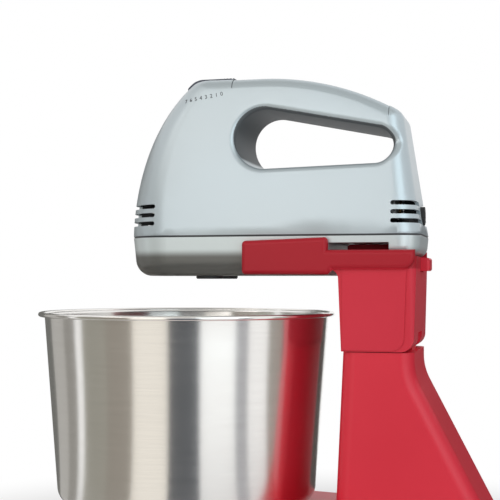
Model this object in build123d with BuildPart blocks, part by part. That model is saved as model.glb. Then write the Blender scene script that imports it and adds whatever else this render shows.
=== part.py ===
# Hand mixer docked in the cradle of a tilting stand, over a bowl on a turntable.
# Millimetres. +Z is up, the mixer's nose points to -X, and the assembly is symmetric in Y.
# The origin is on the table surface, under the middle of the whole assembly.
from build123d import *
from math import cos, pi, radians, sin, sqrt, tan
import os

os.makedirs("parts", exist_ok=True)

# Clearances
RUNNING_FIT = 0.05  # radial, between a turning shaft and its bush
LOOSE_FIT = 0.2  # radial, between a fixed pin, screw or peg and its hole
SLIDE_GAP = 0.5  # between a sliding or swinging piece and what it passes
SEAM_GAP = 0.3  # width of the seams between shells
OVERRUN = 1.0  # how far a cutting tool runs past the face that it cuts
UP_LIMIT = 0.8  # a face counts as a top when its normal rises at least this much
FLAT_LIMIT = 0.01  # a face counts as square to the side when its normal leans less than this

# Screws and their bosses
SCREW_RADIUS = 1.6
SCREW_HEAD = 3.2
SCREW_HEAD_HEIGHT = 2.0
SCREW_LENGTH = 10.0
SCREW_GRIP = 4.0
BOSS_RADIUS = 5.0
BOSS_MERGE = 1.5  # how far a boss runs into a side wall
RIB_WIDTH = 2.0

# Bowl: spun sheet with a rolled rim, and a ring that centres it on the turntable
RIM_RADIUS = 100.0
RIM_BEAD = 1.5
RIM_LIP = 5.0
BOWL_HEIGHT = 126.0
BOWL_WALL = 0.8
BOWL_TAPER = 5.4
BOWL_CORNER = 18.0
RING_RADIUS = 50.0
RING_WALL = 4.0
RING_HEIGHT = 3.5

# Base of the stand
FOOT_STANDOFF = 3.0
FOOT_RADIUS = 8.0
FOOT_PEG = 3.0
BASE_HEIGHT = 39.0
BASE_RADIUS = 88.0
BASE_WALL = 3.0
BASE_DRAFT = 4.0
BASE_EDGE = 7.0
DECK_THICKNESS = 6.0
PLATE_THICKNESS = 2.5
HEEL_REACH = 106.0
HEEL_SHOULDER = 12.0
HEEL_CORNER = 22.0

# Turntable
TURNTABLE_RADIUS = 72.0
TURNTABLE_THICKNESS = 2.5
TURNTABLE_RECESS = 2.0
TURNTABLE_LIFT = 0.4
HUB_HEIGHT = 2.0
AXLE_RADIUS = 4.0
AXLE_LENGTH = 26.0
BUSH_WALL = 2.0
BUSH_LENGTH = 18.0
CLIP_RADIUS = 7.0
CLIP_THICKNESS = 1.2

# Column
RIM_GAP = 10.0
COLUMN_WIDTH = 80.0
COLUMN_LEAN = 3.3
COLUMN_WALL = 3.0
COLUMN_EDGE = 9.0
COLUMN_BEND = 35.0
COLUMN_SLOPE = 0.52
HEEL_MARGIN = 11.0

# Tilting arm, its hinge and its cradle
ARM_HEIGHT = 47.0
ARM_DEPTH = 48.6
ARM_LEAN = 2.0
ARM_WIDTH = 82.0
ARM_WALL = 3.0
ARM_FLARE = 5.5
ARM_EDGE = 5.0
PANEL_RISE = 0.8
PANEL_INSET = 6.0
PANEL_CORNER = 8.0
HINGE_INSET = 8.5
PIN_RADIUS = 2.5
PIN_LENGTH = 68.0
LUG_RADIUS = 5.0
LUG_WIDTH = 24.0
HINGE_BUSH_WALL = 1.5
HINGE_BUSH_LENGTH = 9.0
CHEEK_LENGTH = 55.0
CHEEK_THICKNESS = 5.0
CHEEK_RISE = 0.7  # of the cheeks' lower edge above the mixer's bottom
CHEEK_FRONT_DROP = 3.5
CHEEK_REAR_DROP = 1.5
CHEEK_CORNER = 2.5
CHEEK_EDGE = 3.0
RAIL_CORNER = 8.0
RAIL_TOP_DROP = 9.5
RAIL_BOTTOM_DROP = 21.7
RAIL_SETBACK = 0.6
FLOOR_THICKNESS = 3.0

# Release button and latch
BUTTON_WIDTH = 20.0
BUTTON_HEIGHT = 8.5
BUTTON_PROUD = 5.5
BUTTON_TRAVEL = 3.5
BAR_WIDTH = 10.0
BAR_HEIGHT = 4.0
LATCH_SETBACK = 2.0
LATCH_DEPTH = 4.5
LATCH_WIDTH = 14.0
LATCH_NOSE = 3.5
LATCH_NOSE_HEIGHT = 4.0
RELEASE_SPRING_LENGTH = 15.0
RELEASE_SPRING_RADIUS = 2.4
SPRING_WIRE = 0.35
SPRING_TURNS = 6

# Mixer housing
HEAD_GAP = 24.0
MIXER_LENGTH = 194.0
MIXER_OVERHANG = 1.8
HOUSING_HEIGHT = 104.0
HOUSING_WIDTH = 80.0
TOP_WIDTH = 50.0
HOUSING_WALL = 2.5
NOSE_SETBACK = 80.0
NOSE_RISE = 118.0
REAR_LEAN = 15.5
FRONT_CORNER = 31.0
REAR_CORNER = 14.0
TOP_EDGE = 9.0
CREST_X = 89.7  # from the nose, where the top starts to fall
CREST_RADIUS = 176.0
OPENING_X = 94.2  # from the nose, of the grip opening's front round
OPENING_FRONT_RADIUS = 19.5
OPENING_FRONT_HEIGHT = 62.7
OPENING_REAR_RADIUS = 11.5
OPENING_REAR_HEIGHT = 56.7
OPENING_LENGTH = 71.0
OPENING_EDGE = 4.0
COVER_X = 71.2
COVER_LENGTH = 103.0
COVER_DEPTH = 7.0
COVER_INSET = 0.4
VENT_COUNT = 3
VENT_PITCH = 5.6
VENT_HEIGHT = 2.8
VENT_FIRST = 8.6
FRONT_VENT_LENGTH = 22.5
REAR_VENT_LENGTH = 18.0
VENT_WEB = 7.0
REAR_WEB = 9.0
LOWER_DEPTH = 25.5
LOWER_DRAFT = 6.0
LOWER_EDGE = 11.0
CHANNEL_X = 137.2  # from the nose, where the deep front of the lower shell ends
CHANNEL_LENGTH = 38.0
CHANNEL_DEPTH = 4.8
REAR_FOOT_DEPTH = 13.5
REAR_FOOT_EDGE = 7.0
SEAM_CHAMFER = 0.6
LOFT_STEPS = 4
LOFT_OVERRUN = 3.0
GLAND_HEIGHT = 13.0
GLAND_RADIUS = 6.0
GLAND_BORE = 3.2
GLAND_LENGTH = 9.0
FRONT_SCREW_X = 85.6
REAR_SCREW_X = 184.6
HOUSING_SCREW_Y = 22.0

# Eject key and speed slider
KEY_X = 37.0
KEY_LENGTH = 33.8
KEY_WIDTH = 30.0
KEY_CORNER = 5.0
KEY_PROUD = 1.5
KEY_DEPTH = 9.0
KEY_WALL = 2.0
KEY_TRAVEL = 4.0
SLIDER_LENGTH = 7.0
SLIDER_WIDTH = 16.0
SLIDER_PROUD = 1.3
SPEED_STEP = 3.5
SPEED_COUNT = 7
STEM_WIDTH = 3.0
STEM_LENGTH = 4.0
SLIDER_RIBS = 3

# Motor
MOTOR_X = 135.0
MOTOR_HEIGHT = 18.5
STACK_LENGTH = 30.0
STATOR_WIDTH = 54.0
STATOR_HEIGHT = 40.0
ROTOR_RADIUS = 13.0
AIR_GAP = 0.5
COIL_THICKNESS = 5.2
COIL_WIDTH = 7.2
COIL_OVERHANG = 6.0
COIL_RISE = 2.75
COIL_INSET = 15.0
SHAFT_RADIUS = 3.0
COMMUTATOR_RADIUS = 8.5
COMMUTATOR_LENGTH = 12.0
BRUSH_SIZE = 6.0
BRUSH_LENGTH = 12.0
HOLDER_WALL = 1.0
BRACKET_THICKNESS = 3.0
FAN_RADIUS = 18.0
FAN_LENGTH = 10.0
FAN_BLADES = 12
FAN_HUB = 6.0
FAN_SHEET = 1.5
STATOR_RIB = 3.0
BRACKET_HALF = 8.0
BRACKET_LEG = 3.0
ROTOR_SLOTS = 12
SLOT_WIDTH = 2.4
SLOT_MOUTH = 1.0
SLOT_DEPTH = 5.5
SLOT_COVER = 1.0
WINDING_OVERHANG = 5.0
BAR_GROOVE = 0.5
HOLDER_START = 10.0
BEARING_WALL = 2.0
BEARING_LENGTH = 5.0
REAR_BEARING_GAP = 6.0
FAN_GAP = 16.0

# Worm gearing and beater spindles
SPINDLE_X = 54.7
TOOTH_TIP = 0.55
TOOTH_ROOT = 1.0
TOOTH_TIP_WIDTH = 0.5
TOOTH_ROOT_WIDTH = 1.0
GEAR_TEETH = 36
GEAR_MODULE = 0.8
WORM_RADIUS = 4.0
WORM_DEPTH = 0.8
WORM_LENGTH = 24.0
GEAR_WIDTH = 8.0
GEAR_HUB_RADIUS = 8.0
GEAR_HUB_LENGTH = 14.0
SPINDLE_RADIUS = 5.5
SOCKET_RADIUS = 3.1
SPINDLE_PROUD = 1.5
SPINDLE_TOP = 12.5
COLLAR_RADIUS = 9.0
COLLAR_HEIGHT = 2.0
SPINDLE_BUSH_WALL = 1.5
SPINDLE_BUSH_LENGTH = 8.0
FRAME_LENGTH = 48.0
FRAME_WIDTH = 58.0
FRAME_PLATE = 3.0
PILLAR_RADIUS = 4.0
FRAME_DROP = 14.0
COVER_RISE = 9.5
EJECT_RISE = 27.0
EJECT_PLATE = 3.0
EJECT_WIDTH = 12.0
EJECT_FINGER = 2.5
EJECT_LEG = 2.5
EJECT_LEG_Y = 10.0
EJECT_SPRING_RADIUS = 4.0
SWITCH_LENGTH = 28.0
SWITCH_WIDTH = 12.0
SWITCH_HEIGHT = 12.0
SWITCH_GAP = 2.0
TERMINAL_Y = 3.0
TERMINAL_SHEET = 0.8
TERMINAL_LENGTH = 5.0
TERMINAL_HEIGHT = 4.0

# Derived places of the stand
BOWL_X = (RIM_RADIUS - (RIM_RADIUS + RIM_GAP + HEEL_REACH)) / 2
DECK_Z = FOOT_STANDOFF + BASE_HEIGHT
TURNTABLE_Z = DECK_Z - TURNTABLE_RECESS + TURNTABLE_LIFT
BOWL_BOTTOM = TURNTABLE_Z + TURNTABLE_THICKNESS + RING_HEIGHT
RIM_Z = BOWL_BOTTOM + BOWL_HEIGHT
ARM_FRONT = BOWL_X + RIM_RADIUS + RIM_GAP
ARM_REAR = ARM_FRONT + ARM_DEPTH
HEEL_X = ARM_FRONT + HEEL_REACH
HEEL_WIDTH = COLUMN_WIDTH + 2 * HEEL_SHOULDER
MIXER_BOTTOM = RIM_Z + HEAD_GAP
SEAM_Z = MIXER_BOTTOM + LOWER_DEPTH
ARM_BOTTOM = MIXER_BOTTOM - ARM_HEIGHT
COLUMN_TOP = ARM_BOTTOM - SLIDE_GAP
PIN_X = ARM_REAR - ARM_LEAN - HINGE_INSET
PIN_Z = ARM_BOTTOM + HINGE_INSET
FLOOR_Z = SEAM_Z - REAR_FOOT_DEPTH
RAIL_TOP = SEAM_Z - RAIL_TOP_DROP
RAIL_BOTTOM = SEAM_Z - RAIL_BOTTOM_DROP
CHEEK_INSIDE = HOUSING_WIDTH / 2 + SLIDE_GAP

# Derived places of the mixer
MIXER_REAR = ARM_REAR + MIXER_OVERHANG
MIXER_FRONT = MIXER_REAR - MIXER_LENGTH
DEEP_END = MIXER_FRONT + CHANNEL_X
REAR_FOOT_X = DEEP_END + CHANNEL_LENGTH
TOP_Z = SEAM_Z + HOUSING_HEIGHT
MOTOR_MID = MIXER_FRONT + MOTOR_X
AXIS_Z = SEAM_Z + MOTOR_HEIGHT
GEAR_X = MIXER_FRONT + SPINDLE_X
GEAR_RADIUS = GEAR_MODULE * GEAR_TEETH / 2
GEAR_Y = GEAR_RADIUS + WORM_RADIUS


def block(x, y, z, mode=Mode.ADD):
    """Box given by its lowest and highest place along each axis."""
    with Locations(((x[0] + x[1]) / 2, (y[0] + y[1]) / 2, (z[0] + z[1]) / 2)):
        Box(x[1] - x[0], y[1] - y[0], z[1] - z[0], mode=mode)


def post(x, y, z, radius, mode=Mode.ADD):
    """Upright cylinder between two heights."""
    with Locations((x, y, (z[0] + z[1]) / 2)):
        Cylinder(radius, z[1] - z[0], mode=mode)


def rod(x, y, z, radius, mode=Mode.ADD):
    """Cylinder that lies along X."""
    with Locations(((x[0] + x[1]) / 2, y, z)):
        Cylinder(radius, x[1] - x[0], rotation=(0, 90, 0), mode=mode)


def cross_rod(x, y, z, radius, mode=Mode.ADD):
    """Cylinder that lies along Y."""
    with Locations((x, (y[0] + y[1]) / 2, z)):
        Cylinder(radius, y[1] - y[0], rotation=(90, 0, 0), mode=mode)


# Bowl: one revolved sheet, from the middle of its floor to the rolled rim
BOWL_AXIS = Axis((BOWL_X, 0, 0), (0, 0, 1))
BOWL_SECTION = Plane((BOWL_X, 0, 0), x_dir=(1, 0, 0), z_dir=(0, -1, 0))
bowl_floor = BOWL_BOTTOM + BOWL_WALL / 2
wall_top = RIM_RADIUS - RIM_LIP
wall_foot = wall_top - BOWL_HEIGHT * tan(radians(BOWL_TAPER))
rim_middle = RIM_Z - RIM_BEAD

with BuildPart() as bowl:
    with BuildSketch(BOWL_SECTION):
        with BuildLine():
            FilletPolyline(
                (0, bowl_floor),
                (wall_foot, bowl_floor),
                (wall_top, rim_middle),
                (RIM_RADIUS - RIM_BEAD, rim_middle),
                radius=(BOWL_CORNER, RIM_LIP / 3),
            )
            offset(amount=BOWL_WALL / 2, side=Side.BOTH)
        make_face()
        with Locations((RIM_RADIUS - RIM_BEAD, rim_middle)):
            Circle(RIM_BEAD)
        split(bisect_by=Plane.YZ)
    revolve(axis=BOWL_AXIS)
bowl.part.label = "bowl"
export_step(bowl.part, "parts/bowl.step")

# Ring welded under the bowl, which drops round the turntable's hub plate
with BuildPart() as bowl_foot_ring:
    with BuildSketch(Plane.XY.offset(BOWL_BOTTOM)):
        with Locations((BOWL_X, 0)):
            Circle(RING_RADIUS)
            Circle(RING_RADIUS - RING_WALL, mode=Mode.SUBTRACT)
    extrude(amount=-RING_HEIGHT)
bowl_foot_ring.part.label = "bowl_foot_ring"
export_step(bowl_foot_ring.part, "parts/bowl_foot_ring.step")

# Turntable: a plate in the deck's recess with a raised hub plate inside the bowl's ring
hub_radius = RING_RADIUS - RING_WALL - SLIDE_GAP
axle_top = TURNTABLE_Z + TURNTABLE_THICKNESS
bush_radius = AXLE_RADIUS + RUNNING_FIT + BUSH_WALL
boss_radius = bush_radius + BASE_WALL
bush_top = DECK_Z - TURNTABLE_RECESS
bush_bottom = bush_top - BUSH_LENGTH
axle_bottom = axle_top - AXLE_LENGTH

with BuildPart() as turntable:
    with BuildSketch(Plane.XY.offset(TURNTABLE_Z)):
        with Locations((BOWL_X, 0)):
            Circle(TURNTABLE_RADIUS)
    extrude(amount=TURNTABLE_THICKNESS)
    chamfer(turntable.edges().sort_by(Axis.Z)[-1], TURNTABLE_THICKNESS / 3)
    with BuildSketch(Plane.XY.offset(TURNTABLE_Z + TURNTABLE_THICKNESS)):
        with Locations((BOWL_X, 0)):
            Circle(hub_radius)
            Circle(AXLE_RADIUS + BUSH_WALL, mode=Mode.SUBTRACT)
    extrude(amount=HUB_HEIGHT, taper=BASE_DRAFT)
    with Locations((BOWL_X, 0, axle_top)):
        Hole(AXLE_RADIUS, depth=TURNTABLE_THICKNESS)
turntable.part.label = "turntable"
export_step(turntable.part, "parts/turntable.step")

# Axle riveted into the turntable, with a groove for its clip
clip_z = bush_bottom - TURNTABLE_LIFT - CLIP_THICKNESS
groove_radius = AXLE_RADIUS - CLIP_THICKNESS / 2

with BuildPart() as turntable_axle:
    post(BOWL_X, 0, (axle_bottom, axle_top), AXLE_RADIUS)
    with BuildSketch(Plane.XY.offset(clip_z)):
        with Locations((BOWL_X, 0)):
            Circle(AXLE_RADIUS)
            Circle(groove_radius, mode=Mode.SUBTRACT)
    extrude(amount=CLIP_THICKNESS, mode=Mode.SUBTRACT)
turntable_axle.part.label = "turntable_axle"
export_step(turntable_axle.part, "parts/turntable_axle.step")

# Snap ring in that groove, open on one side
with BuildPart() as axle_clip:
    with BuildSketch(Plane.XY.offset(clip_z)):
        with Locations((BOWL_X, 0)):
            Circle(CLIP_RADIUS)
            Circle(groove_radius, mode=Mode.SUBTRACT)
        with Locations((BOWL_X + CLIP_RADIUS, 0)):
            Rectangle(2 * CLIP_RADIUS, groove_radius, mode=Mode.SUBTRACT)
    extrude(amount=CLIP_THICKNESS)
axle_clip.part.label = "axle_clip"
export_step(axle_clip.part, "parts/axle_clip.step")

# Bush that the axle turns in, pressed into the deck's boss
with BuildPart() as turntable_bush:
    post(BOWL_X, 0, (bush_bottom, bush_top), bush_radius)
    post(BOWL_X, 0, (bush_bottom, bush_top), AXLE_RADIUS + RUNNING_FIT, Mode.SUBTRACT)
turntable_bush.part.label = "turntable_bush"
export_step(turntable_bush.part, "parts/turntable_bush.step")


# Base: a drafted shell, round under the bowl and running into a narrower heel
heel_rounds = [(HEEL_X - HEEL_CORNER, side * (HEEL_WIDTH / 2 - HEEL_CORNER)) for side in (-1, 1)]


def base_outline(inset):
    """Plan of the base at its lower edge."""
    with BuildSketch(Plane.XY.offset(FOOT_STANDOFF)) as outline:
        with Locations((BOWL_X, 0)):
            Circle(BASE_RADIUS - inset)
        with Locations(*heel_rounds):
            Circle(HEEL_CORNER - inset)
        make_hull()
    return outline.sketch


inner_reach = BASE_RADIUS - BASE_WALL - 2 * BOSS_RADIUS
plate_bosses = [
    (BOWL_X + inner_reach * cos(radians(turn)), inner_reach * sin(radians(turn)))
    for turn in (100, 180, 260)
] + [(HEEL_X - HEEL_CORNER, 0)]
column_heel = HEEL_X - HEEL_MARGIN
column_front = ARM_FRONT - COLUMN_LEAN
column_bosses = [
    (x, side * (COLUMN_WIDTH / 2 - COLUMN_WALL - BOSS_RADIUS + BOSS_MERGE))
    for x in (column_front + COLUMN_EDGE + BOSS_RADIUS, column_heel - 4 * BOSS_RADIUS)
    for side in (-1, 1)
]
foot_places = [
    (BOWL_X - BASE_RADIUS / 2, -BASE_RADIUS / 2),
    (BOWL_X - BASE_RADIUS / 2, BASE_RADIUS / 2),
    (HEEL_X - HEEL_CORNER, HEEL_WIDTH / 2 - HEEL_CORNER),
    (HEEL_X - HEEL_CORNER, HEEL_CORNER - HEEL_WIDTH / 2),
]
plate_top = FOOT_STANDOFF + PLATE_THICKNESS

with BuildPart() as base_housing:
    extrude(base_outline(0), amount=BASE_HEIGHT, taper=BASE_DRAFT)
    fillet(base_housing.edges().group_by(Axis.Z)[-1], BASE_EDGE)
    extrude(
        base_outline(BASE_WALL),
        amount=BASE_HEIGHT - DECK_THICKNESS,
        taper=BASE_DRAFT,
        mode=Mode.SUBTRACT,
    )
    with Locations((BOWL_X, 0, DECK_Z)):
        Hole(TURNTABLE_RADIUS + SLIDE_GAP, depth=TURNTABLE_RECESS)
    post(BOWL_X, 0, (bush_bottom, DECK_Z - DECK_THICKNESS), boss_radius)
    post(BOWL_X, 0, (bush_bottom, DECK_Z), bush_radius, Mode.SUBTRACT)
    for x, y in plate_bosses:
        post(x, y, (plate_top, DECK_Z - DECK_THICKNESS), BOSS_RADIUS)
        post(x, y, (plate_top, plate_top + SCREW_LENGTH), SCREW_RADIUS, Mode.SUBTRACT)
    for x, y in column_bosses:
        post(x, y, (0, DECK_Z + OVERRUN), SCREW_RADIUS + LOOSE_FIT, Mode.SUBTRACT)
base_housing.part.label = "base_housing"
export_step(base_housing.part, "parts/base_housing.step")

# Plate that closes the base, screwed to its bosses
with BuildPart() as base_plate:
    extrude(base_outline(BASE_WALL + SLIDE_GAP), amount=PLATE_THICKNESS)
    for x, y in plate_bosses:
        post(x, y, (0, DECK_Z), SCREW_RADIUS + LOOSE_FIT, Mode.SUBTRACT)
    for x, y in foot_places:
        post(x, y, (0, DECK_Z), FOOT_PEG + LOOSE_FIT, Mode.SUBTRACT)
base_plate.part.label = "base_plate"
export_step(base_plate.part, "parts/base_plate.step")

# Rubber feet, each with a peg in the plate
with BuildPart() as base_feet:
    for x, y in foot_places:
        post(x, y, (0, FOOT_STANDOFF), FOOT_RADIUS)
    chamfer(base_feet.edges().group_by(Axis.Z)[0], FOOT_STANDOFF / 3)
    for x, y in foot_places:
        post(x, y, (FOOT_STANDOFF, plate_top), FOOT_PEG)
base_feet.part.label = "base_feet"
export_step(base_feet.part, "parts/base_feet.step")


def screws_up(places, under_head):
    """Pan-head screws that point up, with their heads' upper faces at one height."""
    for x, y in places:
        post(x, y, (under_head, under_head + SCREW_LENGTH), SCREW_RADIUS)
        post(x, y, (under_head - SCREW_HEAD_HEIGHT, under_head), SCREW_HEAD)


with BuildPart() as base_screws:
    screws_up(plate_bosses, FOOT_STANDOFF)
base_screws.part.label = "base_screws"
export_step(base_screws.part, "parts/base_screws.step")

with BuildPart() as column_screws:
    screws_up(column_bosses, DECK_Z - DECK_THICKNESS)
column_screws.part.label = "column_screws"
export_step(column_screws.part, "parts/column_screws.step")


# Column: a hollow flared foot for the hinge
def column_profile(inset, below):
    """Side view of the column with every edge moved in, open to a height below."""
    rear = ARM_REAR - ARM_LEAN - inset
    heel = column_heel - inset * sqrt(1 + COLUMN_SLOPE**2)
    with BuildSketch(Plane.XZ) as profile:
        with BuildLine():
            Polyline(
                (column_front + inset, below),
                (ARM_FRONT + ARM_LEAN + inset, COLUMN_TOP - inset),
                (rear, COLUMN_TOP - inset),
                (rear, DECK_Z + (heel - rear) / COLUMN_SLOPE),
                (heel + COLUMN_SLOPE * (DECK_Z - below), below),
                close=True,
            )
        make_face()
        fillet(profile.vertices().group_by(Axis.X)[-2].sort_by(Axis.Y)[0], COLUMN_BEND)
    return profile.sketch


half_lug = LUG_WIDTH / 2

with BuildPart() as column_housing:
    extrude(column_profile(0, DECK_Z), amount=COLUMN_WIDTH / 2, both=True)
    fillet(
        column_housing.edges().filter_by(
            lambda edge: abs(edge.center().Y) > COLUMN_WIDTH / 2 - OVERRUN
            and DECK_Z + OVERRUN < edge.center().Z < COLUMN_TOP - OVERRUN
        ),
        COLUMN_EDGE,
    )
    extrude(
        column_profile(COLUMN_WALL, DECK_Z - COLUMN_WALL),
        amount=COLUMN_WIDTH / 2 - COLUMN_WALL,
        both=True,
        mode=Mode.SUBTRACT,
    )
    for x, y in column_bosses:
        post(x, y, (DECK_Z, DECK_Z + 2 * SCREW_LENGTH), BOSS_RADIUS)
        post(x, y, (DECK_Z, DECK_Z + SCREW_LENGTH), SCREW_RADIUS, Mode.SUBTRACT)
    block(
        (PIN_X - LUG_RADIUS, PIN_X + LUG_RADIUS),
        (-half_lug, half_lug),
        (COLUMN_TOP - COLUMN_WALL, PIN_Z),
    )
    cross_rod(PIN_X, (-half_lug, half_lug), PIN_Z, LUG_RADIUS)
    cross_rod(PIN_X, (-half_lug, half_lug), PIN_Z, PIN_RADIUS, Mode.SUBTRACT)
column_housing.part.label = "column_housing"
export_step(column_housing.part, "parts/column_housing.step")

# Hinge pin, held in the column's lug, and the bushes of the arm that turn on it
hinge_bush_radius = PIN_RADIUS + RUNNING_FIT + HINGE_BUSH_WALL
bush_side = half_lug + SLIDE_GAP

with BuildPart() as hinge_pin:
    cross_rod(PIN_X, (-PIN_LENGTH / 2, PIN_LENGTH / 2), PIN_Z, PIN_RADIUS)
    chamfer(hinge_pin.edges().filter_by(GeomType.CIRCLE), PIN_RADIUS / 4)
hinge_pin.part.label = "hinge_pin"
export_step(hinge_pin.part, "parts/hinge_pin.step")

with BuildPart() as hinge_bushes:
    for side in (-1, 1):
        reach = sorted((side * bush_side, side * (bush_side + HINGE_BUSH_LENGTH)))
        cross_rod(PIN_X, reach, PIN_Z, hinge_bush_radius)
        cross_rod(PIN_X, reach, PIN_Z, PIN_RADIUS + RUNNING_FIT, Mode.SUBTRACT)
hinge_bushes.part.label = "hinge_bushes"
export_step(hinge_bushes.part, "parts/hinge_bushes.step")

# Arm: a hollow post on the hinge that carries a cradle with two cheeks beside the mixer
rail_front = DEEP_END + SLIDE_GAP
rail_rear = ARM_REAR - RAIL_SETBACK
cheek_front = rail_front - CHEEK_LENGTH
cheek_bottom = MIXER_BOTTOM + CHEEK_RISE
half_arm = ARM_WIDTH / 2
inner_floor = FLOOR_Z - FLOOR_THICKNESS
button_front = ARM_REAR - ARM_WALL - SLIDE_GAP
button_bottom = FLOOR_Z - SLIDE_GAP - BUTTON_HEIGHT
latch_rear = REAR_FOOT_X - LATCH_SETBACK
latch_front = latch_rear - LATCH_DEPTH
bar_top = inner_floor - SLIDE_GAP
spring_stop = latch_front - RELEASE_SPRING_LENGTH
boss_inset = ARM_WALL + 2 * BOSS_RADIUS
arm_bosses = [
    (ARM_FRONT + boss_inset, ARM_BOTTOM + boss_inset),
    (ARM_FRONT + boss_inset, RAIL_BOTTOM - boss_inset / 2),
    (ARM_REAR - boss_inset, RAIL_BOTTOM - boss_inset),
]

with BuildPart() as whole_arm:
    with BuildSketch(Plane.XZ) as arm_side:
        with BuildLine():
            Polyline(
                (ARM_FRONT + ARM_LEAN, ARM_BOTTOM),
                (ARM_FRONT, RAIL_BOTTOM),
                (rail_front, RAIL_BOTTOM),
                (rail_front, FLOOR_Z),
                (ARM_REAR, FLOOR_Z),
                (ARM_REAR - ARM_LEAN, ARM_BOTTOM),
                close=True,
            )
        make_face()
        fillet(arm_side.vertices().group_by(Axis.Y)[1].sort_by(Axis.X)[-1], ARM_FLARE)
        fillet(arm_side.vertices().group_by(Axis.Y)[0].sort_by(Axis.X)[-1], HINGE_INSET)
    extrude(amount=half_arm, both=True)
    with BuildSketch(Plane.XY.offset(ARM_BOTTOM)) as arm_plan:
        with Locations(((rail_front + ARM_REAR) / 2, 0)):
            Rectangle(ARM_REAR - rail_front, ARM_WIDTH)
        fillet(arm_plan.vertices().group_by(Axis.X)[-1], ARM_EDGE)
    extrude(amount=FLOOR_Z - ARM_BOTTOM, mode=Mode.INTERSECT)
    # Slightly raised side panels with one round corner over the hinge
    with BuildSketch(Plane.XZ) as panel_side:
        with BuildLine():
            Polyline(
                (ARM_FRONT + ARM_LEAN + PANEL_RISE, ARM_BOTTOM + PANEL_RISE),
                (ARM_FRONT + ARM_LEAN + PANEL_RISE, RAIL_BOTTOM + RAIL_SETBACK),
                (ARM_REAR - PANEL_INSET, RAIL_BOTTOM + RAIL_SETBACK),
                (ARM_REAR - ARM_LEAN - PANEL_INSET, ARM_BOTTOM + PANEL_RISE),
                close=True,
            )
        make_face()
        fillet(panel_side.vertices().group_by(Axis.Y)[0].sort_by(Axis.X)[-1], PANEL_CORNER)
    extrude(amount=half_arm + PANEL_RISE, both=True)
    # Hollow inside, with a lip round the pin at the lower rear corner
    with BuildSketch(Plane.XZ):
        with BuildLine():
            lip_radius = HINGE_INSET - ARM_WALL
            Polyline(
                (PIN_X, PIN_Z - lip_radius),
                (PIN_X, ARM_BOTTOM - ARM_WALL),
                (ARM_FRONT + ARM_LEAN + ARM_WALL, ARM_BOTTOM - ARM_WALL),
                (ARM_FRONT + ARM_WALL, inner_floor),
                (ARM_REAR - ARM_WALL, inner_floor),
                (PIN_X + lip_radius, PIN_Z),
            )
            RadiusArc((PIN_X + lip_radius, PIN_Z), (PIN_X, PIN_Z - lip_radius), lip_radius)
        make_face()
    extrude(amount=half_arm - ARM_WALL, both=True, mode=Mode.SUBTRACT)
    # Hinge bosses, and the slot that swings past the column's lug
    for side in (-1, 1):
        inner = sorted((side * bush_side, side * (half_arm - ARM_WALL / 2)))
        seat = sorted((side * bush_side, side * (bush_side + HINGE_BUSH_LENGTH)))
        blind = sorted((side * bush_side, side * (PIN_LENGTH / 2 + SLIDE_GAP)))
        cross_rod(PIN_X, inner, PIN_Z, hinge_bush_radius + HINGE_BUSH_WALL)
        cross_rod(PIN_X, seat, PIN_Z, hinge_bush_radius, Mode.SUBTRACT)
        cross_rod(PIN_X, blind, PIN_Z, PIN_RADIUS + LOOSE_FIT, Mode.SUBTRACT)
    block(
        (PIN_X - SLIDE_GAP, ARM_REAR + SLIDE_GAP),
        (-bush_side, bush_side),
        (ARM_BOTTOM - SLIDE_GAP, PIN_Z + LUG_RADIUS / 2),
        Mode.SUBTRACT,
    )
    # Rails and cheeks of the cradle
    for side in (-1, 1):
        with BuildSketch(Plane.XZ.offset(-side * CHEEK_INSIDE)) as cheek_side:
            with BuildLine():
                Polyline(
                    (cheek_front, cheek_bottom),
                    (rail_front, cheek_bottom),
                    (rail_front + RAIL_BOTTOM - cheek_bottom, RAIL_BOTTOM),
                    (rail_rear, RAIL_BOTTOM),
                    (rail_rear, RAIL_TOP),
                    (rail_front, RAIL_TOP),
                    (rail_front, SEAM_Z - CHEEK_REAR_DROP),
                    (cheek_front, SEAM_Z - CHEEK_FRONT_DROP),
                    close=True,
                )
            make_face()
            fillet(cheek_side.vertices().group_by(Axis.X)[-1].sort_by(Axis.Y)[0], RAIL_CORNER)
            fillet(cheek_side.vertices().group_by(Axis.X)[0], CHEEK_CORNER)
            fillet(cheek_side.vertices().group_by(Axis.Y)[-1], CHEEK_CORNER)
        extrude(amount=-side * CHEEK_THICKNESS)
        fillet(whole_arm.faces().sort_by(Axis.Y)[0 if side < 0 else -1].edges(), CHEEK_EDGE)
    # Bosses that hold the two halves together, with the heads sunk in from the right
    for x, z in arm_bosses:
        cross_rod(x, (ARM_WALL / 2 - half_arm, half_arm - ARM_WALL / 2), z, BOSS_RADIUS)
        cross_rod(x, (SCREW_GRIP - SCREW_LENGTH, 0), z, SCREW_RADIUS, Mode.SUBTRACT)
        cross_rod(x, (0, SCREW_GRIP), z, SCREW_RADIUS + LOOSE_FIT, Mode.SUBTRACT)
        cross_rod(x, (SCREW_GRIP, half_arm + CHEEK_THICKNESS), z, SCREW_HEAD + LOOSE_FIT, Mode.SUBTRACT)
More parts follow.
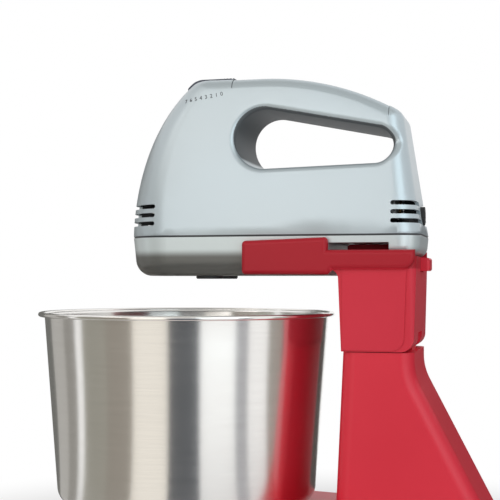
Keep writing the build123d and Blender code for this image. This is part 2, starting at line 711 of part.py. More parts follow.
    # Slots of the latch and the release button, and the stop of their spring
    block(
        (latch_front - BUTTON_TRAVEL - SLIDE_GAP, latch_rear + LATCH_NOSE + SLIDE_GAP),
        (-LATCH_WIDTH / 2 - SLIDE_GAP, LATCH_WIDTH / 2 + SLIDE_GAP),
        (inner_floor - SLIDE_GAP, FLOOR_Z + SLIDE_GAP),
        Mode.SUBTRACT,
    )
    block(
        (button_front - BUTTON_TRAVEL - SLIDE_GAP, ARM_REAR + SLIDE_GAP),
        (-BUTTON_WIDTH / 2 - SLIDE_GAP, BUTTON_WIDTH / 2 + SLIDE_GAP),
        (button_bottom - SLIDE_GAP, FLOOR_Z + SLIDE_GAP),
        Mode.SUBTRACT,
    )
    block(
        (spring_stop - ARM_WALL, spring_stop),
        (-BAR_WIDTH / 2, BAR_WIDTH / 2),
        (bar_top - BAR_HEIGHT - SLIDE_GAP, inner_floor),
    )

with BuildPart() as arm_left_shell:
    add(whole_arm.part)
    split(bisect_by=Plane.XZ, keep=Keep.TOP)
arm_left_shell.part.label = "arm_left_shell"
export_step(arm_left_shell.part, "parts/arm_left_shell.step")

with BuildPart() as arm_right_shell:
    add(whole_arm.part)
    split(bisect_by=Plane.XZ, keep=Keep.BOTTOM)
arm_right_shell.part.label = "arm_right_shell"
export_step(arm_right_shell.part, "parts/arm_right_shell.step")

# Screws of the two halves
with BuildPart() as arm_screws:
    for x, z in arm_bosses:
        cross_rod(x, (SCREW_GRIP - SCREW_LENGTH, SCREW_GRIP), z, SCREW_RADIUS)
        cross_rod(x, (SCREW_GRIP, SCREW_GRIP + SCREW_HEAD_HEIGHT), z, SCREW_HEAD)
arm_screws.part.label = "arm_screws"
export_step(arm_screws.part, "parts/arm_screws.step")

# Release button: a thumb pad behind the arm with a bar that runs under the cradle's floor
with BuildPart() as release_button:
    block(
        (button_front, ARM_REAR + BUTTON_PROUD),
        (-BUTTON_WIDTH / 2, BUTTON_WIDTH / 2),
        (button_bottom, button_bottom + BUTTON_HEIGHT),
    )
    fillet(release_button.faces().sort_by(Axis.X)[-1].edges(), BUTTON_HEIGHT / 5)
    block((latch_front, button_front), (-BAR_WIDTH / 2, BAR_WIDTH / 2), (bar_top - BAR_HEIGHT, bar_top))
release_button.part.label = "release_button"
export_step(release_button.part, "parts/release_button.step")

# Latch: a post on the bar with a nose that sits in the groove of the mixer's rear foot
channel_roof = SEAM_Z - CHANNEL_DEPTH
latch_top = channel_roof - 2 * SLIDE_GAP

with BuildPart() as release_latch:
    with BuildSketch(Plane.XZ):
        with BuildLine():
            Polyline(
                (latch_front, bar_top),
                (latch_rear, bar_top),
                (latch_rear, latch_top - LATCH_NOSE_HEIGHT),
                (latch_rear + LATCH_NOSE, latch_top - LATCH_NOSE_HEIGHT),
                (latch_rear, latch_top),
                (latch_front, latch_top),
                close=True,
            )
        make_face()
    extrude(amount=LATCH_WIDTH / 2, both=True)
release_latch.part.label = "release_latch"
export_step(release_latch.part, "parts/release_latch.step")


def coil_spring(start, direction, radius, length):
    """Open coil spring of round wire that starts at a point and runs in a direction."""
    with BuildPart() as spring:
        with BuildLine() as turns:
            Helix(
                pitch=(length - 2 * SPRING_WIRE) / SPRING_TURNS,
                height=length - 2 * SPRING_WIRE,
                radius=radius,
                center=Vector(*start) + Vector(*direction) * SPRING_WIRE,
                direction=direction,
            )
        with BuildSketch(Plane(turns.line @ 0, z_dir=turns.line % 0)):
            Circle(SPRING_WIRE)
        sweep(path=turns.line, is_frenet=True)
    return spring.part


release_spring = coil_spring(
    (spring_stop, 0, bar_top - BAR_HEIGHT / 2),
    (1, 0, 0),
    RELEASE_SPRING_RADIUS - SPRING_WIRE,
    RELEASE_SPRING_LENGTH,
)
release_spring.label = "release_spring"
export_step(release_spring, "parts/release_spring.step")


# Mixer shells: the outer form is lofted through plan sections that narrow and lean back
def nose_x(height):
    """Front of the housing at a height over the seam, on a quarter ellipse."""
    return MIXER_FRONT + NOSE_SETBACK * (1 - sqrt(1 - (height / NOSE_RISE) ** 2))


def rear_x(height):
    """Rear of the housing at a height over the seam."""
    return MIXER_REAR - REAR_LEAN * height / HOUSING_HEIGHT


def mixer_plan(height, inset):
    """Plan section of the housing at a height over the seam, moved in all round."""
    half = (HOUSING_WIDTH + (TOP_WIDTH - HOUSING_WIDTH) * height / HOUSING_HEIGHT) / 2 - inset
    shrink = 2 * half / HOUSING_WIDTH
    front = nose_x(height) + inset
    rear = rear_x(height) - inset
    with BuildSketch(Plane.XY.offset(SEAM_Z + height)) as plan:
        with Locations(((front + rear) / 2, 0)):
            Rectangle(rear - front, 2 * half)
        fillet(plan.vertices().group_by(Axis.X)[0], FRONT_CORNER * shrink)
        fillet(plan.vertices().group_by(Axis.X)[-1], REAR_CORNER * shrink)
    return plan.sketch


loft_top = HOUSING_HEIGHT + LOFT_OVERRUN


def under_top(drop):
    """Side view of all that lies under the top line lowered by a drop."""
    crest = (MIXER_FRONT + CREST_X, TOP_Z - drop)
    end = MIXER_REAR + CREST_RADIUS / 10
    end_z = crest[1] - CREST_RADIUS + sqrt(CREST_RADIUS**2 - (end - crest[0]) ** 2)
    low = SEAM_Z - LOWER_DEPTH
    with BuildSketch(Plane.XZ) as below:
        with BuildLine():
            Polyline((end, end_z), (end, low), (MIXER_FRONT, low), (MIXER_FRONT, crest[1]), crest)
            RadiusArc(crest, (end, end_z), CREST_RADIUS)
        make_face()
    return below.sketch


def mixer_form(inset):
    """Closed solid of the upper housing's outside, moved in by an inset."""
    with BuildPart() as form:
        loft([mixer_plan(loft_top * step / LOFT_STEPS, inset) for step in range(LOFT_STEPS + 1)])
        extrude(under_top(inset), amount=HOUSING_WIDTH, both=True, mode=Mode.INTERSECT)
        top_faces = form.faces().filter_by(lambda face: face.normal_at().Z > UP_LIMIT)
        top_edges = top_faces.edges()
        rim = [edge for edge in set(top_edges) if top_edges.count(edge) == 1]
        fillet(rim, TOP_EDGE - inset)
    return form.part


outer_form = mixer_form(0)
cavity_form = mixer_form(HOUSING_WALL)
cover_form = mixer_form(COVER_INSET)
key_form = mixer_form(-KEY_PROUD)
slider_form = mixer_form(-KEY_PROUD - SLIDER_PROUD)

# Places on the upper housing
opening_rounds = [
    (MIXER_FRONT + OPENING_X, SEAM_Z + OPENING_FRONT_HEIGHT, OPENING_FRONT_RADIUS),
    (MIXER_FRONT + OPENING_X + OPENING_LENGTH, SEAM_Z + OPENING_REAR_HEIGHT, OPENING_REAR_RADIUS),
]
cover_ends = (MIXER_FRONT + COVER_X, MIXER_FRONT + COVER_X + COVER_LENGTH)
key_middle = MIXER_FRONT + KEY_X + KEY_LENGTH / 2
key_bottom = TOP_Z - KEY_DEPTH
switch_reach = (key_middle - SWITCH_LENGTH / 2, key_middle + SWITCH_LENGTH / 2)
switch_top = key_bottom - KEY_TRAVEL - SWITCH_GAP
shelf_top = switch_top - SWITCH_HEIGHT
shelf_height = shelf_top - SEAM_Z
vent_heights = [SEAM_Z + VENT_FIRST + step * VENT_PITCH for step in range(VENT_COUNT)]
gland_z = SEAM_Z + GLAND_HEIGHT
front_screws = [(MIXER_FRONT + FRONT_SCREW_X, side * HOUSING_SCREW_Y) for side in (-1, 1)]
rear_screws = [(MIXER_FRONT + REAR_SCREW_X, side * HOUSING_SCREW_Y) for side in (-1, 1)]
boss_height = SCREW_LENGTH + HOUSING_WALL


def grip_opening(margin):
    """Side view of the grip opening, a hull of two rounds, with a margin round it."""
    with BuildSketch(Plane.XZ) as opening:
        for x, z, radius in opening_rounds:
            with Locations((x, z)):
                Circle(radius + margin)
        make_hull()
    return opening.sketch


def key_plan(margin):
    """Plan of the eject key, with a margin round it."""
    with BuildSketch(Plane.XY.offset(key_bottom)) as plan:
        with Locations((key_middle, 0)):
            RectangleRounded(KEY_LENGTH + 2 * margin, KEY_WIDTH + 2 * margin, KEY_CORNER + margin)
    return plan.sketch


def vent_slots(first, last, web):
    """Cuts stacked slots with round ends through both side walls, and leaves a middle web."""
    for side in (-1, 1):
        with BuildSketch(Plane.XZ.offset(-side * web)) as slots:
            with Locations(*[((first + last) / 2, height) for height in vent_heights]):
                SlotOverall(last - first, VENT_HEIGHT)
        extrude(slots.sketch, amount=-side * HOUSING_WIDTH, mode=Mode.SUBTRACT)


# Hollow of the upper housing: the inset form less a wall round the grip opening
with BuildPart() as cavity:
    add(cavity_form)
    extrude(grip_opening(HOUSING_WALL), amount=HOUSING_WIDTH, both=True, mode=Mode.SUBTRACT)

# What the handle cover fills: a band under the top line between the cover's ends
with BuildPart() as cover_band:
    block(cover_ends, (-HOUSING_WIDTH, HOUSING_WIDTH), (SEAM_Z, TOP_Z + COVER_DEPTH))
    extrude(under_top(COVER_DEPTH), amount=2 * HOUSING_WIDTH, both=True, mode=Mode.SUBTRACT)

opening_span = (
    opening_rounds[0][0] - OPENING_FRONT_RADIUS - OVERRUN,
    opening_rounds[1][0] + OPENING_REAR_RADIUS + OVERRUN,
)

with BuildPart() as upper_housing:
    add(outer_form)
    extrude(grip_opening(0), amount=HOUSING_WIDTH, both=True, mode=Mode.SUBTRACT)
    opening_walls = upper_housing.faces().filter_by(
        lambda face: opening_span[0] < face.center().X < opening_span[1]
        and SEAM_Z + OVERRUN < face.center().Z < TOP_Z - TOP_EDGE
        and abs(face.normal_at().Y) < FLAT_LIMIT
    )
    opening_edges = opening_walls.edges().filter_by(
        lambda edge: abs(edge.center().Y) > TOP_WIDTH / 4
    )
    fillet(opening_edges, OPENING_EDGE)
    chamfer(upper_housing.edges().group_by(Axis.Z)[0], SEAM_CHAMFER)
    add(cavity.part, mode=Mode.SUBTRACT)
    vent_slots(MIXER_FRONT - FRONT_VENT_LENGTH, MIXER_FRONT + FRONT_VENT_LENGTH, VENT_WEB)
    vent_slots(MIXER_REAR - REAR_VENT_LENGTH, MIXER_REAR + REAR_VENT_LENGTH, REAR_WEB)
    add(cover_band.part, mode=Mode.SUBTRACT)
    extrude(key_plan(SLIDE_GAP), amount=KEY_DEPTH + KEY_PROUD, mode=Mode.SUBTRACT)
    gland_reach = (MIXER_REAR - GLAND_LENGTH, MIXER_REAR + GLAND_LENGTH)
    rod(gland_reach, 0, gland_z, GLAND_RADIUS, Mode.SUBTRACT)
    # Shelf of the speed switch, with holes for the two legs of the eject plate
    shelf_half = (HOUSING_WIDTH - (HOUSING_WIDTH - TOP_WIDTH) * shelf_height / HOUSING_HEIGHT) / 2
    shelf_half -= HOUSING_WALL / 2
    block(switch_reach, (-shelf_half, shelf_half), (shelf_top - HOUSING_WALL, shelf_top))
    for side in (-1, 1):
        leg_hole = (shelf_top - HOUSING_WALL, shelf_top)
        post(GEAR_X, side * EJECT_LEG_Y, leg_hole, EJECT_LEG + SLIDE_GAP, Mode.SUBTRACT)
    # Screw bosses, tied by ribs to the side walls in front and to the rear wall behind
    boss_levels = (SEAM_Z, SEAM_Z + boss_height)
    for x, y in front_screws:
        wall = (HOUSING_WIDTH - HOUSING_WALL) / 2 * (1 if y > 0 else -1)
        block((x - RIB_WIDTH / 2, x + RIB_WIDTH / 2), sorted((y, wall)), boss_levels)
    for x, y in rear_screws:
        wall = rear_x(boss_height) - HOUSING_WALL / 4
        block((x, wall), (y - RIB_WIDTH / 2, y + RIB_WIDTH / 2), boss_levels)
    for x, y in front_screws + rear_screws:
        post(x, y, boss_levels, BOSS_RADIUS)
        post(x, y, (SEAM_Z, SEAM_Z + SCREW_LENGTH), SCREW_RADIUS, Mode.SUBTRACT)
upper_housing.part.label = "upper_housing"
export_step(upper_housing.part, "parts/upper_housing.step")

# Handle cover: a cap over the hollow grip, a little inside the housing's skin
with BuildPart() as handle_cover:
    add(cover_form)
    block(
        (cover_ends[0] + SEAM_GAP, cover_ends[1] - SEAM_GAP),
        (-HOUSING_WIDTH, HOUSING_WIDTH),
        (SEAM_Z, TOP_Z + COVER_DEPTH),
        Mode.INTERSECT,
    )
    extrude(under_top(COVER_DEPTH), amount=2 * HOUSING_WIDTH, both=True, mode=Mode.SUBTRACT)
handle_cover.part.label = "handle_cover"
export_step(handle_cover.part, "parts/handle_cover.step")

# Eject key: a hollow cap that follows the housing's top and is pressed down into it
key_roof = TOP_Z - KEY_WALL - KEY_PROUD
slot_rear = key_middle + KEY_LENGTH / 2 - KEY_WALL
slider_rear = slot_rear - SLIDE_GAP
slider_rest = slider_rear - SLIDER_LENGTH / 2
speed_travel = SPEED_COUNT * SPEED_STEP
stem_reach = (slider_rest - speed_travel - STEM_LENGTH / 2, slider_rest + STEM_LENGTH / 2)

with BuildPart() as eject_key:
    add(key_form)
    extrude(key_plan(0), amount=KEY_DEPTH + 2 * KEY_PROUD, mode=Mode.INTERSECT)
    fillet(eject_key.faces().sort_by(Axis.Z)[-1].edges(), KEY_PROUD / 2)
    extrude(key_plan(-KEY_WALL), amount=key_roof - key_bottom, mode=Mode.SUBTRACT)
    block(
        (stem_reach[0] - SLIDE_GAP, stem_reach[1] + SLIDE_GAP),
        (-STEM_WIDTH / 2 - SLIDE_GAP, STEM_WIDTH / 2 + SLIDE_GAP),
        (key_bottom, TOP_Z + 2 * KEY_PROUD),
        Mode.SUBTRACT,
    )
eject_key.part.label = "eject_key"
export_step(eject_key.part, "parts/eject_key.step")

# Speed slider: a ribbed thumb piece on the key, with a stem through the key's slot
with BuildPart() as speed_slider:
    add(slider_form)
    block(
        (slider_rear - SLIDER_LENGTH, slider_rear),
        (-SLIDER_WIDTH / 2, SLIDER_WIDTH / 2),
        (TOP_Z + KEY_PROUD + RUNNING_FIT, TOP_Z + 2 * KEY_PROUD + SLIDER_PROUD),
        Mode.INTERSECT,
    )
    for step in range(SLIDER_RIBS):
        x = slider_rear - SLIDER_LENGTH * (step + 0.5) / SLIDER_RIBS
        groove = SLIDER_LENGTH / SLIDER_RIBS / 4
        block(
            (x - groove, x + groove),
            (-SLIDER_WIDTH / 2, SLIDER_WIDTH / 2),
            (TOP_Z + KEY_PROUD + SLIDER_PROUD / 2, TOP_Z + 2 * KEY_PROUD + SLIDER_PROUD),
            Mode.SUBTRACT,
        )
    block(
        (slider_rest - STEM_LENGTH / 2, slider_rest + STEM_LENGTH / 2),
        (-STEM_WIDTH / 2, STEM_WIDTH / 2),
        (key_bottom, TOP_Z + KEY_PROUD + SLIDER_PROUD / 2),
    )
speed_slider.part.label = "speed_slider"
export_step(speed_slider.part, "parts/speed_slider.step")


# Lower housing: the seam's outline drawn down, deep in front, with a channel over the latch
# and a shallow foot behind
def lower_shell(depth, edge, span, inset):
    """Drafted tub of one depth between two places along X, moved in by an inset."""
    with BuildPart() as tub:
        with BuildSketch(Plane.XY.offset(SEAM_Z)):
            add(mixer_plan(0, inset).moved(Location((0, 0, -SEAM_Z))))
        extrude(amount=inset - depth, taper=LOWER_DRAFT)
        if edge > inset:
            fillet(tub.edges().group_by(Axis.Z)[0], edge - inset)
        levels = (SEAM_Z - 2 * LOWER_DEPTH, SEAM_Z + OVERRUN)
        block(span, (-HOUSING_WIDTH, HOUSING_WIDTH), levels, Mode.INTERSECT)
    return tub.part


ends = (MIXER_FRONT - OVERRUN, MIXER_REAR + OVERRUN)
deep_span = (ends[0], DEEP_END)
deep_outer = lower_shell(LOWER_DEPTH, LOWER_EDGE, deep_span, 0)
deep_span = (ends[0], DEEP_END - HOUSING_WALL)
deep_inner = lower_shell(LOWER_DEPTH, LOWER_EDGE, deep_span, HOUSING_WALL)
roof_span = (DEEP_END - OVERRUN, REAR_FOOT_X + OVERRUN)
roof_outer = lower_shell(CHANNEL_DEPTH, 0, roof_span, 0)
roof_span = (roof_span[0] - HOUSING_WALL, roof_span[1] + HOUSING_WALL)
roof_inner = lower_shell(CHANNEL_DEPTH, 0, roof_span, HOUSING_WALL)
foot_span = (REAR_FOOT_X, ends[1])
foot_outer = lower_shell(REAR_FOOT_DEPTH, REAR_FOOT_EDGE, foot_span, 0)
foot_span = (REAR_FOOT_X + HOUSING_WALL, ends[1])
foot_inner = lower_shell(REAR_FOOT_DEPTH, REAR_FOOT_EDGE, foot_span, HOUSING_WALL)

collar_places = [(GEAR_X, -GEAR_Y), (GEAR_X, GEAR_Y)]
spindle_bush_radius = SPINDLE_RADIUS + RUNNING_FIT + SPINDLE_BUSH_WALL
spindle_boss_radius = spindle_bush_radius + HOUSING_WALL
frame_ends = (GEAR_X - FRAME_LENGTH / 2, GEAR_X + FRAME_LENGTH / 2)
frame_bottom = AXIS_Z - FRAME_DROP
pillar_places = [
    (x, side * (FRAME_WIDTH / 2 - PILLAR_RADIUS))
    for x in (frame_ends[0] + PILLAR_RADIUS, frame_ends[1] - PILLAR_RADIUS)
    for side in (-1, 1)
]
stator_ends = (MOTOR_MID - STACK_LENGTH / 2, MOTOR_MID + STACK_LENGTH / 2)
stator_bottom = AXIS_Z - STATOR_HEIGHT / 2
deep_floor = MIXER_BOTTOM + HOUSING_WALL
roof_floor = channel_roof + HOUSING_WALL
foot_floor = FLOOR_Z + HOUSING_WALL

with BuildPart() as lower_housing:
    add([deep_outer, roof_outer, foot_outer])
    chamfer(lower_housing.edges().group_by(Axis.Z)[-1], SEAM_CHAMFER)
    add([deep_inner, roof_inner, foot_inner], mode=Mode.SUBTRACT)
    # Groove for the latch's nose, open below so that the mixer lifts straight off
    block(
        (REAR_FOOT_X - OVERRUN, latch_rear + LATCH_NOSE + SLIDE_GAP + HOUSING_WALL),
        (-LATCH_WIDTH / 2 - SLIDE_GAP - HOUSING_WALL, LATCH_WIDTH / 2 + SLIDE_GAP + HOUSING_WALL),
        (FLOOR_Z, SEAM_Z - SEAM_CHAMFER),
    )
    block(
        (REAR_FOOT_X - 2 * OVERRUN, latch_rear + LATCH_NOSE + SLIDE_GAP),
        (-LATCH_WIDTH / 2 - SLIDE_GAP, LATCH_WIDTH / 2 + SLIDE_GAP),
        (FLOOR_Z - OVERRUN, channel_roof),
        Mode.SUBTRACT,
    )
    # Seats of the beater spindles, pillars of the gear frame and ribs under the motor
    for x, y in collar_places:
        post(x, y, (deep_floor, MIXER_BOTTOM + SPINDLE_BUSH_LENGTH), spindle_boss_radius)
        post(x, y, (MIXER_BOTTOM, MIXER_BOTTOM + SPINDLE_BUSH_LENGTH), spindle_bush_radius, Mode.SUBTRACT)
    for x, y in pillar_places:
        post(x, y, (deep_floor, frame_bottom), PILLAR_RADIUS)
        post(x, y, (frame_bottom - SCREW_LENGTH, frame_bottom), SCREW_RADIUS, Mode.SUBTRACT)
    rib_reach = STATOR_WIDTH / 2 - HOUSING_WALL
    rib_x = stator_ends[0] + STATOR_RIB
    block((rib_x, rib_x + STATOR_RIB), (-rib_reach, rib_reach), (deep_floor, stator_bottom))
    rib_x = stator_ends[1] - STATOR_RIB
    block((rib_x - STATOR_RIB, rib_x), (-rib_reach, rib_reach), (roof_floor, stator_bottom))
    # Screw tubes, with the heads sunk in from below
    for places, floor in ((front_screws, MIXER_BOTTOM), (rear_screws, FLOOR_Z)):
        for x, y in places:
            post(x, y, (floor + HOUSING_WALL, SEAM_Z), BOSS_RADIUS)
            post(x, y, (floor, SEAM_Z), SCREW_RADIUS + LOOSE_FIT, Mode.SUBTRACT)
            post(x, y, (floor, SEAM_Z - SCREW_GRIP), SCREW_HEAD + LOOSE_FIT, Mode.SUBTRACT)
lower_housing.part.label = "lower_housing"
export_step(lower_housing.part, "parts/lower_housing.step")

# Bushes of the spindles, two in the lower housing and two in the gear cover
cover_bottom = AXIS_Z + COVER_RISE
cover_top = cover_bottom + FRAME_PLATE
spindle_bottom = MIXER_BOTTOM - SPINDLE_PROUD
spindle_top = AXIS_Z + SPINDLE_TOP
bush_levels = [(MIXER_BOTTOM, MIXER_BOTTOM + SPINDLE_BUSH_LENGTH), (cover_bottom, cover_top)]

with BuildPart() as spindle_bushes:
    for level in bush_levels:
        for x, y in collar_places:
            post(x, y, level, spindle_bush_radius)
            post(x, y, level, SPINDLE_RADIUS + RUNNING_FIT, Mode.SUBTRACT)
spindle_bushes.part.label = "spindle_bushes"
export_step(spindle_bushes.part, "parts/spindle_bushes.step")

# Trim collars round the two beater sockets
with BuildPart() as socket_collars:
    for x, y in collar_places:
        post(x, y, (MIXER_BOTTOM - COLLAR_HEIGHT, MIXER_BOTTOM), COLLAR_RADIUS)
    chamfer(socket_collars.edges().group_by(Axis.Z)[0], COLLAR_HEIGHT / 3)
    for x, y in collar_places:
        post(x, y, (MIXER_BOTTOM - COLLAR_HEIGHT, MIXER_BOTTOM), SPINDLE_RADIUS + SLIDE_GAP, Mode.SUBTRACT)
socket_collars.part.label = "socket_collars"
export_step(socket_collars.part, "parts/socket_collars.step")


def spindle(y):
    """Steel sleeve that takes a beater's shank, with two keys' slots at its mouth."""
    with BuildPart() as sleeve:
        post(GEAR_X, y, (spindle_bottom, spindle_top), SPINDLE_RADIUS)
        chamfer(sleeve.edges().group_by(Axis.Z)[0], (SPINDLE_RADIUS - SOCKET_RADIUS) / 3)
        post(GEAR_X, y, (spindle_bottom, spindle_top), SOCKET_RADIUS, Mode.SUBTRACT)
    return sleeve.part


def drive_gear(y, turn):
    """Worm wheel with straight teeth and a long hub, on its spindle."""
    tip = GEAR_RADIUS + TOOTH_TIP
    root = GEAR_RADIUS - TOOTH_ROOT
    with BuildPart() as wheel:
        with BuildSketch(Plane.XY.offset(AXIS_Z - GEAR_WIDTH / 2)) as teeth:
            with Locations((GEAR_X, y)):
                Circle(root)
                with PolarLocations(0, GEAR_TEETH, start_angle=turn):
                    Polygon(
                        (root - TOOTH_ROOT, -TOOTH_ROOT_WIDTH / 2),
                        (root, -TOOTH_ROOT_WIDTH / 2),
                        (tip, -TOOTH_TIP_WIDTH / 2),
                        (tip, TOOTH_TIP_WIDTH / 2),
                        (root, TOOTH_ROOT_WIDTH / 2),
                        (root - TOOTH_ROOT, TOOTH_ROOT_WIDTH / 2),
                        align=None,
                    )
        extrude(teeth.sketch, amount=GEAR_WIDTH)
        hub = (AXIS_Z - GEAR_HUB_LENGTH / 2, AXIS_Z + GEAR_HUB_LENGTH / 2)
        post(GEAR_X, y, hub, GEAR_HUB_RADIUS)
        post(GEAR_X, y, hub, SPINDLE_RADIUS, Mode.SUBTRACT)
    return wheel.part


left_spindle = spindle(-GEAR_Y)
left_spindle.label = "left_spindle"
export_step(left_spindle, "parts/left_spindle.step")
right_spindle = spindle(GEAR_Y)
right_spindle.label = "right_spindle"
export_step(right_spindle, "parts/right_spindle.step")

# The worm's thread is half a pitch on from one side to the other, so the left wheel
# stands half a tooth round
left_gear = drive_gear(-GEAR_Y, 90 + 180 / GEAR_TEETH)
left_gear.label = "left_gear"
export_step(left_gear, "parts/left_gear.step")
right_gear = drive_gear(GEAR_Y, 270)
right_gear.label = "right_gear"
export_step(right_gear, "parts/right_gear.step")

# Worm shaft: a round rod whose middle winds about the axis as a single-start thread.
# The winding starts on top, so a quarter pitch more puts a gap opposite the right wheel's tooth.
worm_pitch = pi * GEAR_MODULE
worm_turns = int(WORM_LENGTH / worm_pitch / 2)
worm_start = GEAR_X - worm_pitch * (worm_turns + 0.25)
worm_end = GEAR_X + worm_pitch * (worm_turns + 0.25)
front_bearing_x = frame_ends[0] + BEARING_LENGTH / 2
rear_bearing_x = frame_ends[1] - BEARING_LENGTH / 2
coil_reach = STACK_LENGTH / 2 + COIL_OVERHANG + AIR_GAP
bracket_front = MOTOR_MID - coil_reach - BRACKET_THICKNESS - AIR_GAP
commutator_front = MOTOR_MID + coil_reach + AIR_GAP
bracket_rear = commutator_front + COMMUTATOR_LENGTH + REAR_BEARING_GAP
shaft_ends = (frame_ends[0], bracket_rear + BEARING_LENGTH)

with BuildPart() as worm_shaft:
    with BuildLine() as winding:
        Helix(
            pitch=worm_pitch,
            height=worm_end - worm_start,
            radius=WORM_DEPTH,
            center=(worm_start, 0, AXIS_Z),
            direction=(1, 0, 0),
        )
    with BuildSketch(Plane(winding.line @ 0, x_dir=(0, 1, 0), z_dir=(1, 0, 0))):
        Circle(WORM_RADIUS)
    sweep(path=winding.line, normal=(1, 0, 0))
    rod((shaft_ends[0], worm_start), 0, AXIS_Z, SHAFT_RADIUS)
    rod((worm_end, shaft_ends[1]), 0, AXIS_Z, SHAFT_RADIUS)
worm_shaft.part.label = "worm_shaft"
export_step(worm_shaft.part, "parts/worm_shaft.step")

# Bearings of the worm shaft: two in the gear frame and one in each motor bracket
bearing_radius = SHAFT_RADIUS + RUNNING_FIT + BEARING_WALL


def shaft_bush(middle):
    """Plain bearing round the shaft."""
    reach = (middle - BEARING_LENGTH / 2, middle + BEARING_LENGTH / 2)
    rod(reach, 0, AXIS_Z, bearing_radius)
    rod(reach, 0, AXIS_Z, SHAFT_RADIUS + RUNNING_FIT, Mode.SUBTRACT)


with BuildPart() as worm_bearings:
    shaft_bush(front_bearing_x)
    shaft_bush(rear_bearing_x)
worm_bearings.part.label = "worm_bearings"
export_step(worm_bearings.part, "parts/worm_bearings.step")

front_bush_x = bracket_front + BRACKET_THICKNESS / 2
rear_bush_x = bracket_rear + BRACKET_THICKNESS / 2

with BuildPart() as motor_bearings:
    shaft_bush(front_bush_x)
    shaft_bush(rear_bush_x)
motor_bearings.part.label = "motor_bearings"
export_step(motor_bearings.part, "parts/motor_bearings.step")

# Gear frame: a plate under the wheels with corner posts and two bearing walls
with BuildPart() as gear_frame:
    with BuildSketch(Plane.XY.offset(frame_bottom)):
        with Locations((GEAR_X, 0)):
            RectangleRounded(FRAME_LENGTH, FRAME_WIDTH, PILLAR_RADIUS)
        with Locations(*collar_places):
            Circle(SPINDLE_RADIUS + SLIDE_GAP, mode=Mode.SUBTRACT)
    extrude(amount=FRAME_PLATE)
    for x, y in pillar_places:
        post(x, y, (frame_bottom, cover_bottom), PILLAR_RADIUS - SLIDE_GAP)
    for middle in (front_bearing_x, rear_bearing_x):
        reach = (middle - BEARING_LENGTH / 2, middle + BEARING_LENGTH / 2)
        wall = bearing_radius + BEARING_WALL
        block(reach, (-wall, wall), (frame_bottom, AXIS_Z + wall))
        rod(reach, 0, AXIS_Z, bearing_radius, Mode.SUBTRACT)
    for x, y in pillar_places:
        post(x, y, (frame_bottom, cover_bottom), SCREW_RADIUS + LOOSE_FIT, Mode.SUBTRACT)
gear_frame.part.label = "gear_frame"
export_step(gear_frame.part, "parts/gear_frame.step")

# Gear cover: holds the upper bushes and the foot of the eject spring
with BuildPart() as gear_cover:
    with BuildSketch(Plane.XY.offset(cover_bottom)):
        with Locations((GEAR_X, 0)):
            RectangleRounded(FRAME_LENGTH, FRAME_WIDTH, PILLAR_RADIUS)
        with Locations(*collar_places):
            Circle(spindle_bush_radius, mode=Mode.SUBTRACT)
        with Locations(*pillar_places):
            Circle(SCREW_RADIUS + LOOSE_FIT, mode=Mode.SUBTRACT)
    extrude(amount=FRAME_PLATE)
gear_cover.part.label = "gear_cover"
export_step(gear_cover.part, "parts/gear_cover.step")


def screws_down(places, under_head, length):
    """Pan-head screws that point down, with their heads' lower faces at one height."""
    for x, y in places:
        post(x, y, (under_head - length, under_head), SCREW_RADIUS)
        post(x, y, (under_head, under_head + SCREW_HEAD_HEIGHT), SCREW_HEAD)


with BuildPart() as gear_screws:
    screws_down(pillar_places, cover_top, cover_top - frame_bottom + SCREW_LENGTH)
gear_screws.part.label = "gear_screws"
export_step(gear_screws.part, "parts/gear_screws.step")

with BuildPart() as housing_screws:
    screws_up(front_screws + rear_screws, SEAM_Z - SCREW_GRIP)
housing_screws.part.label = "housing_screws"
export_step(housing_screws.part, "parts/housing_screws.step")

# Eject plate: a yoke under the key with two fingers over the beater sockets
eject_bottom = AXIS_Z + EJECT_RISE
finger_bottom = spindle_top + SLIDE_GAP

with BuildPart() as eject_plate:
    with BuildSketch(Plane.XY.offset(eject_bottom)):
        with Locations((GEAR_X, 0)):
            RectangleRounded(EJECT_WIDTH, 2 * GEAR_Y + EJECT_WIDTH, EJECT_WIDTH / 3)
    extrude(amount=EJECT_PLATE)
    for x, y in collar_places:
        post(x, y, (finger_bottom, eject_bottom), EJECT_FINGER)
    for side in (-1, 1):
        post(GEAR_X, side * EJECT_LEG_Y, (eject_bottom, key_roof), EJECT_LEG)
eject_plate.part.label = "eject_plate"
export_step(eject_plate.part, "parts/eject_plate.step")

eject_spring = coil_spring(
    (GEAR_X, 0, cover_top), (0, 0, 1), EJECT_SPRING_RADIUS - SPRING_WIRE, eject_bottom - cover_top
)
eject_spring.label = "eject_spring"
export_step(eject_spring, "parts/eject_spring.step")

# Speed switch: the contact block on its shelf under the slider's stem
with BuildPart() as speed_switch:
    block(switch_reach, (-SWITCH_WIDTH / 2, SWITCH_WIDTH / 2), (shelf_top, switch_top))
    slot_floor = switch_top - SWITCH_GAP
    block(
        (switch_reach[0] + KEY_WALL, switch_reach[1] - KEY_WALL),
        (-STEM_WIDTH / 2 - SLIDE_GAP, STEM_WIDTH / 2 + SLIDE_GAP),
        (slot_floor, switch_top),
        Mode.SUBTRACT,
    )
    # Terminal blades at its rear end
    for side in (-1, 1):
        blade = sorted((side * TERMINAL_Y, side * (TERMINAL_Y + TERMINAL_SHEET)))
        block(
            (switch_reach[1], switch_reach[1] + TERMINAL_LENGTH),
            blade,
            (shelf_top + SWITCH_GAP, shelf_top + SWITCH_GAP + TERMINAL_HEIGHT),
        )
speed_switch.part.label = "speed_switch"
export_step(speed_switch.part, "parts/speed_switch.step")

# Cord gland: a rubber sleeve in the rear wall
gland_front = MIXER_REAR - GLAND_LENGTH

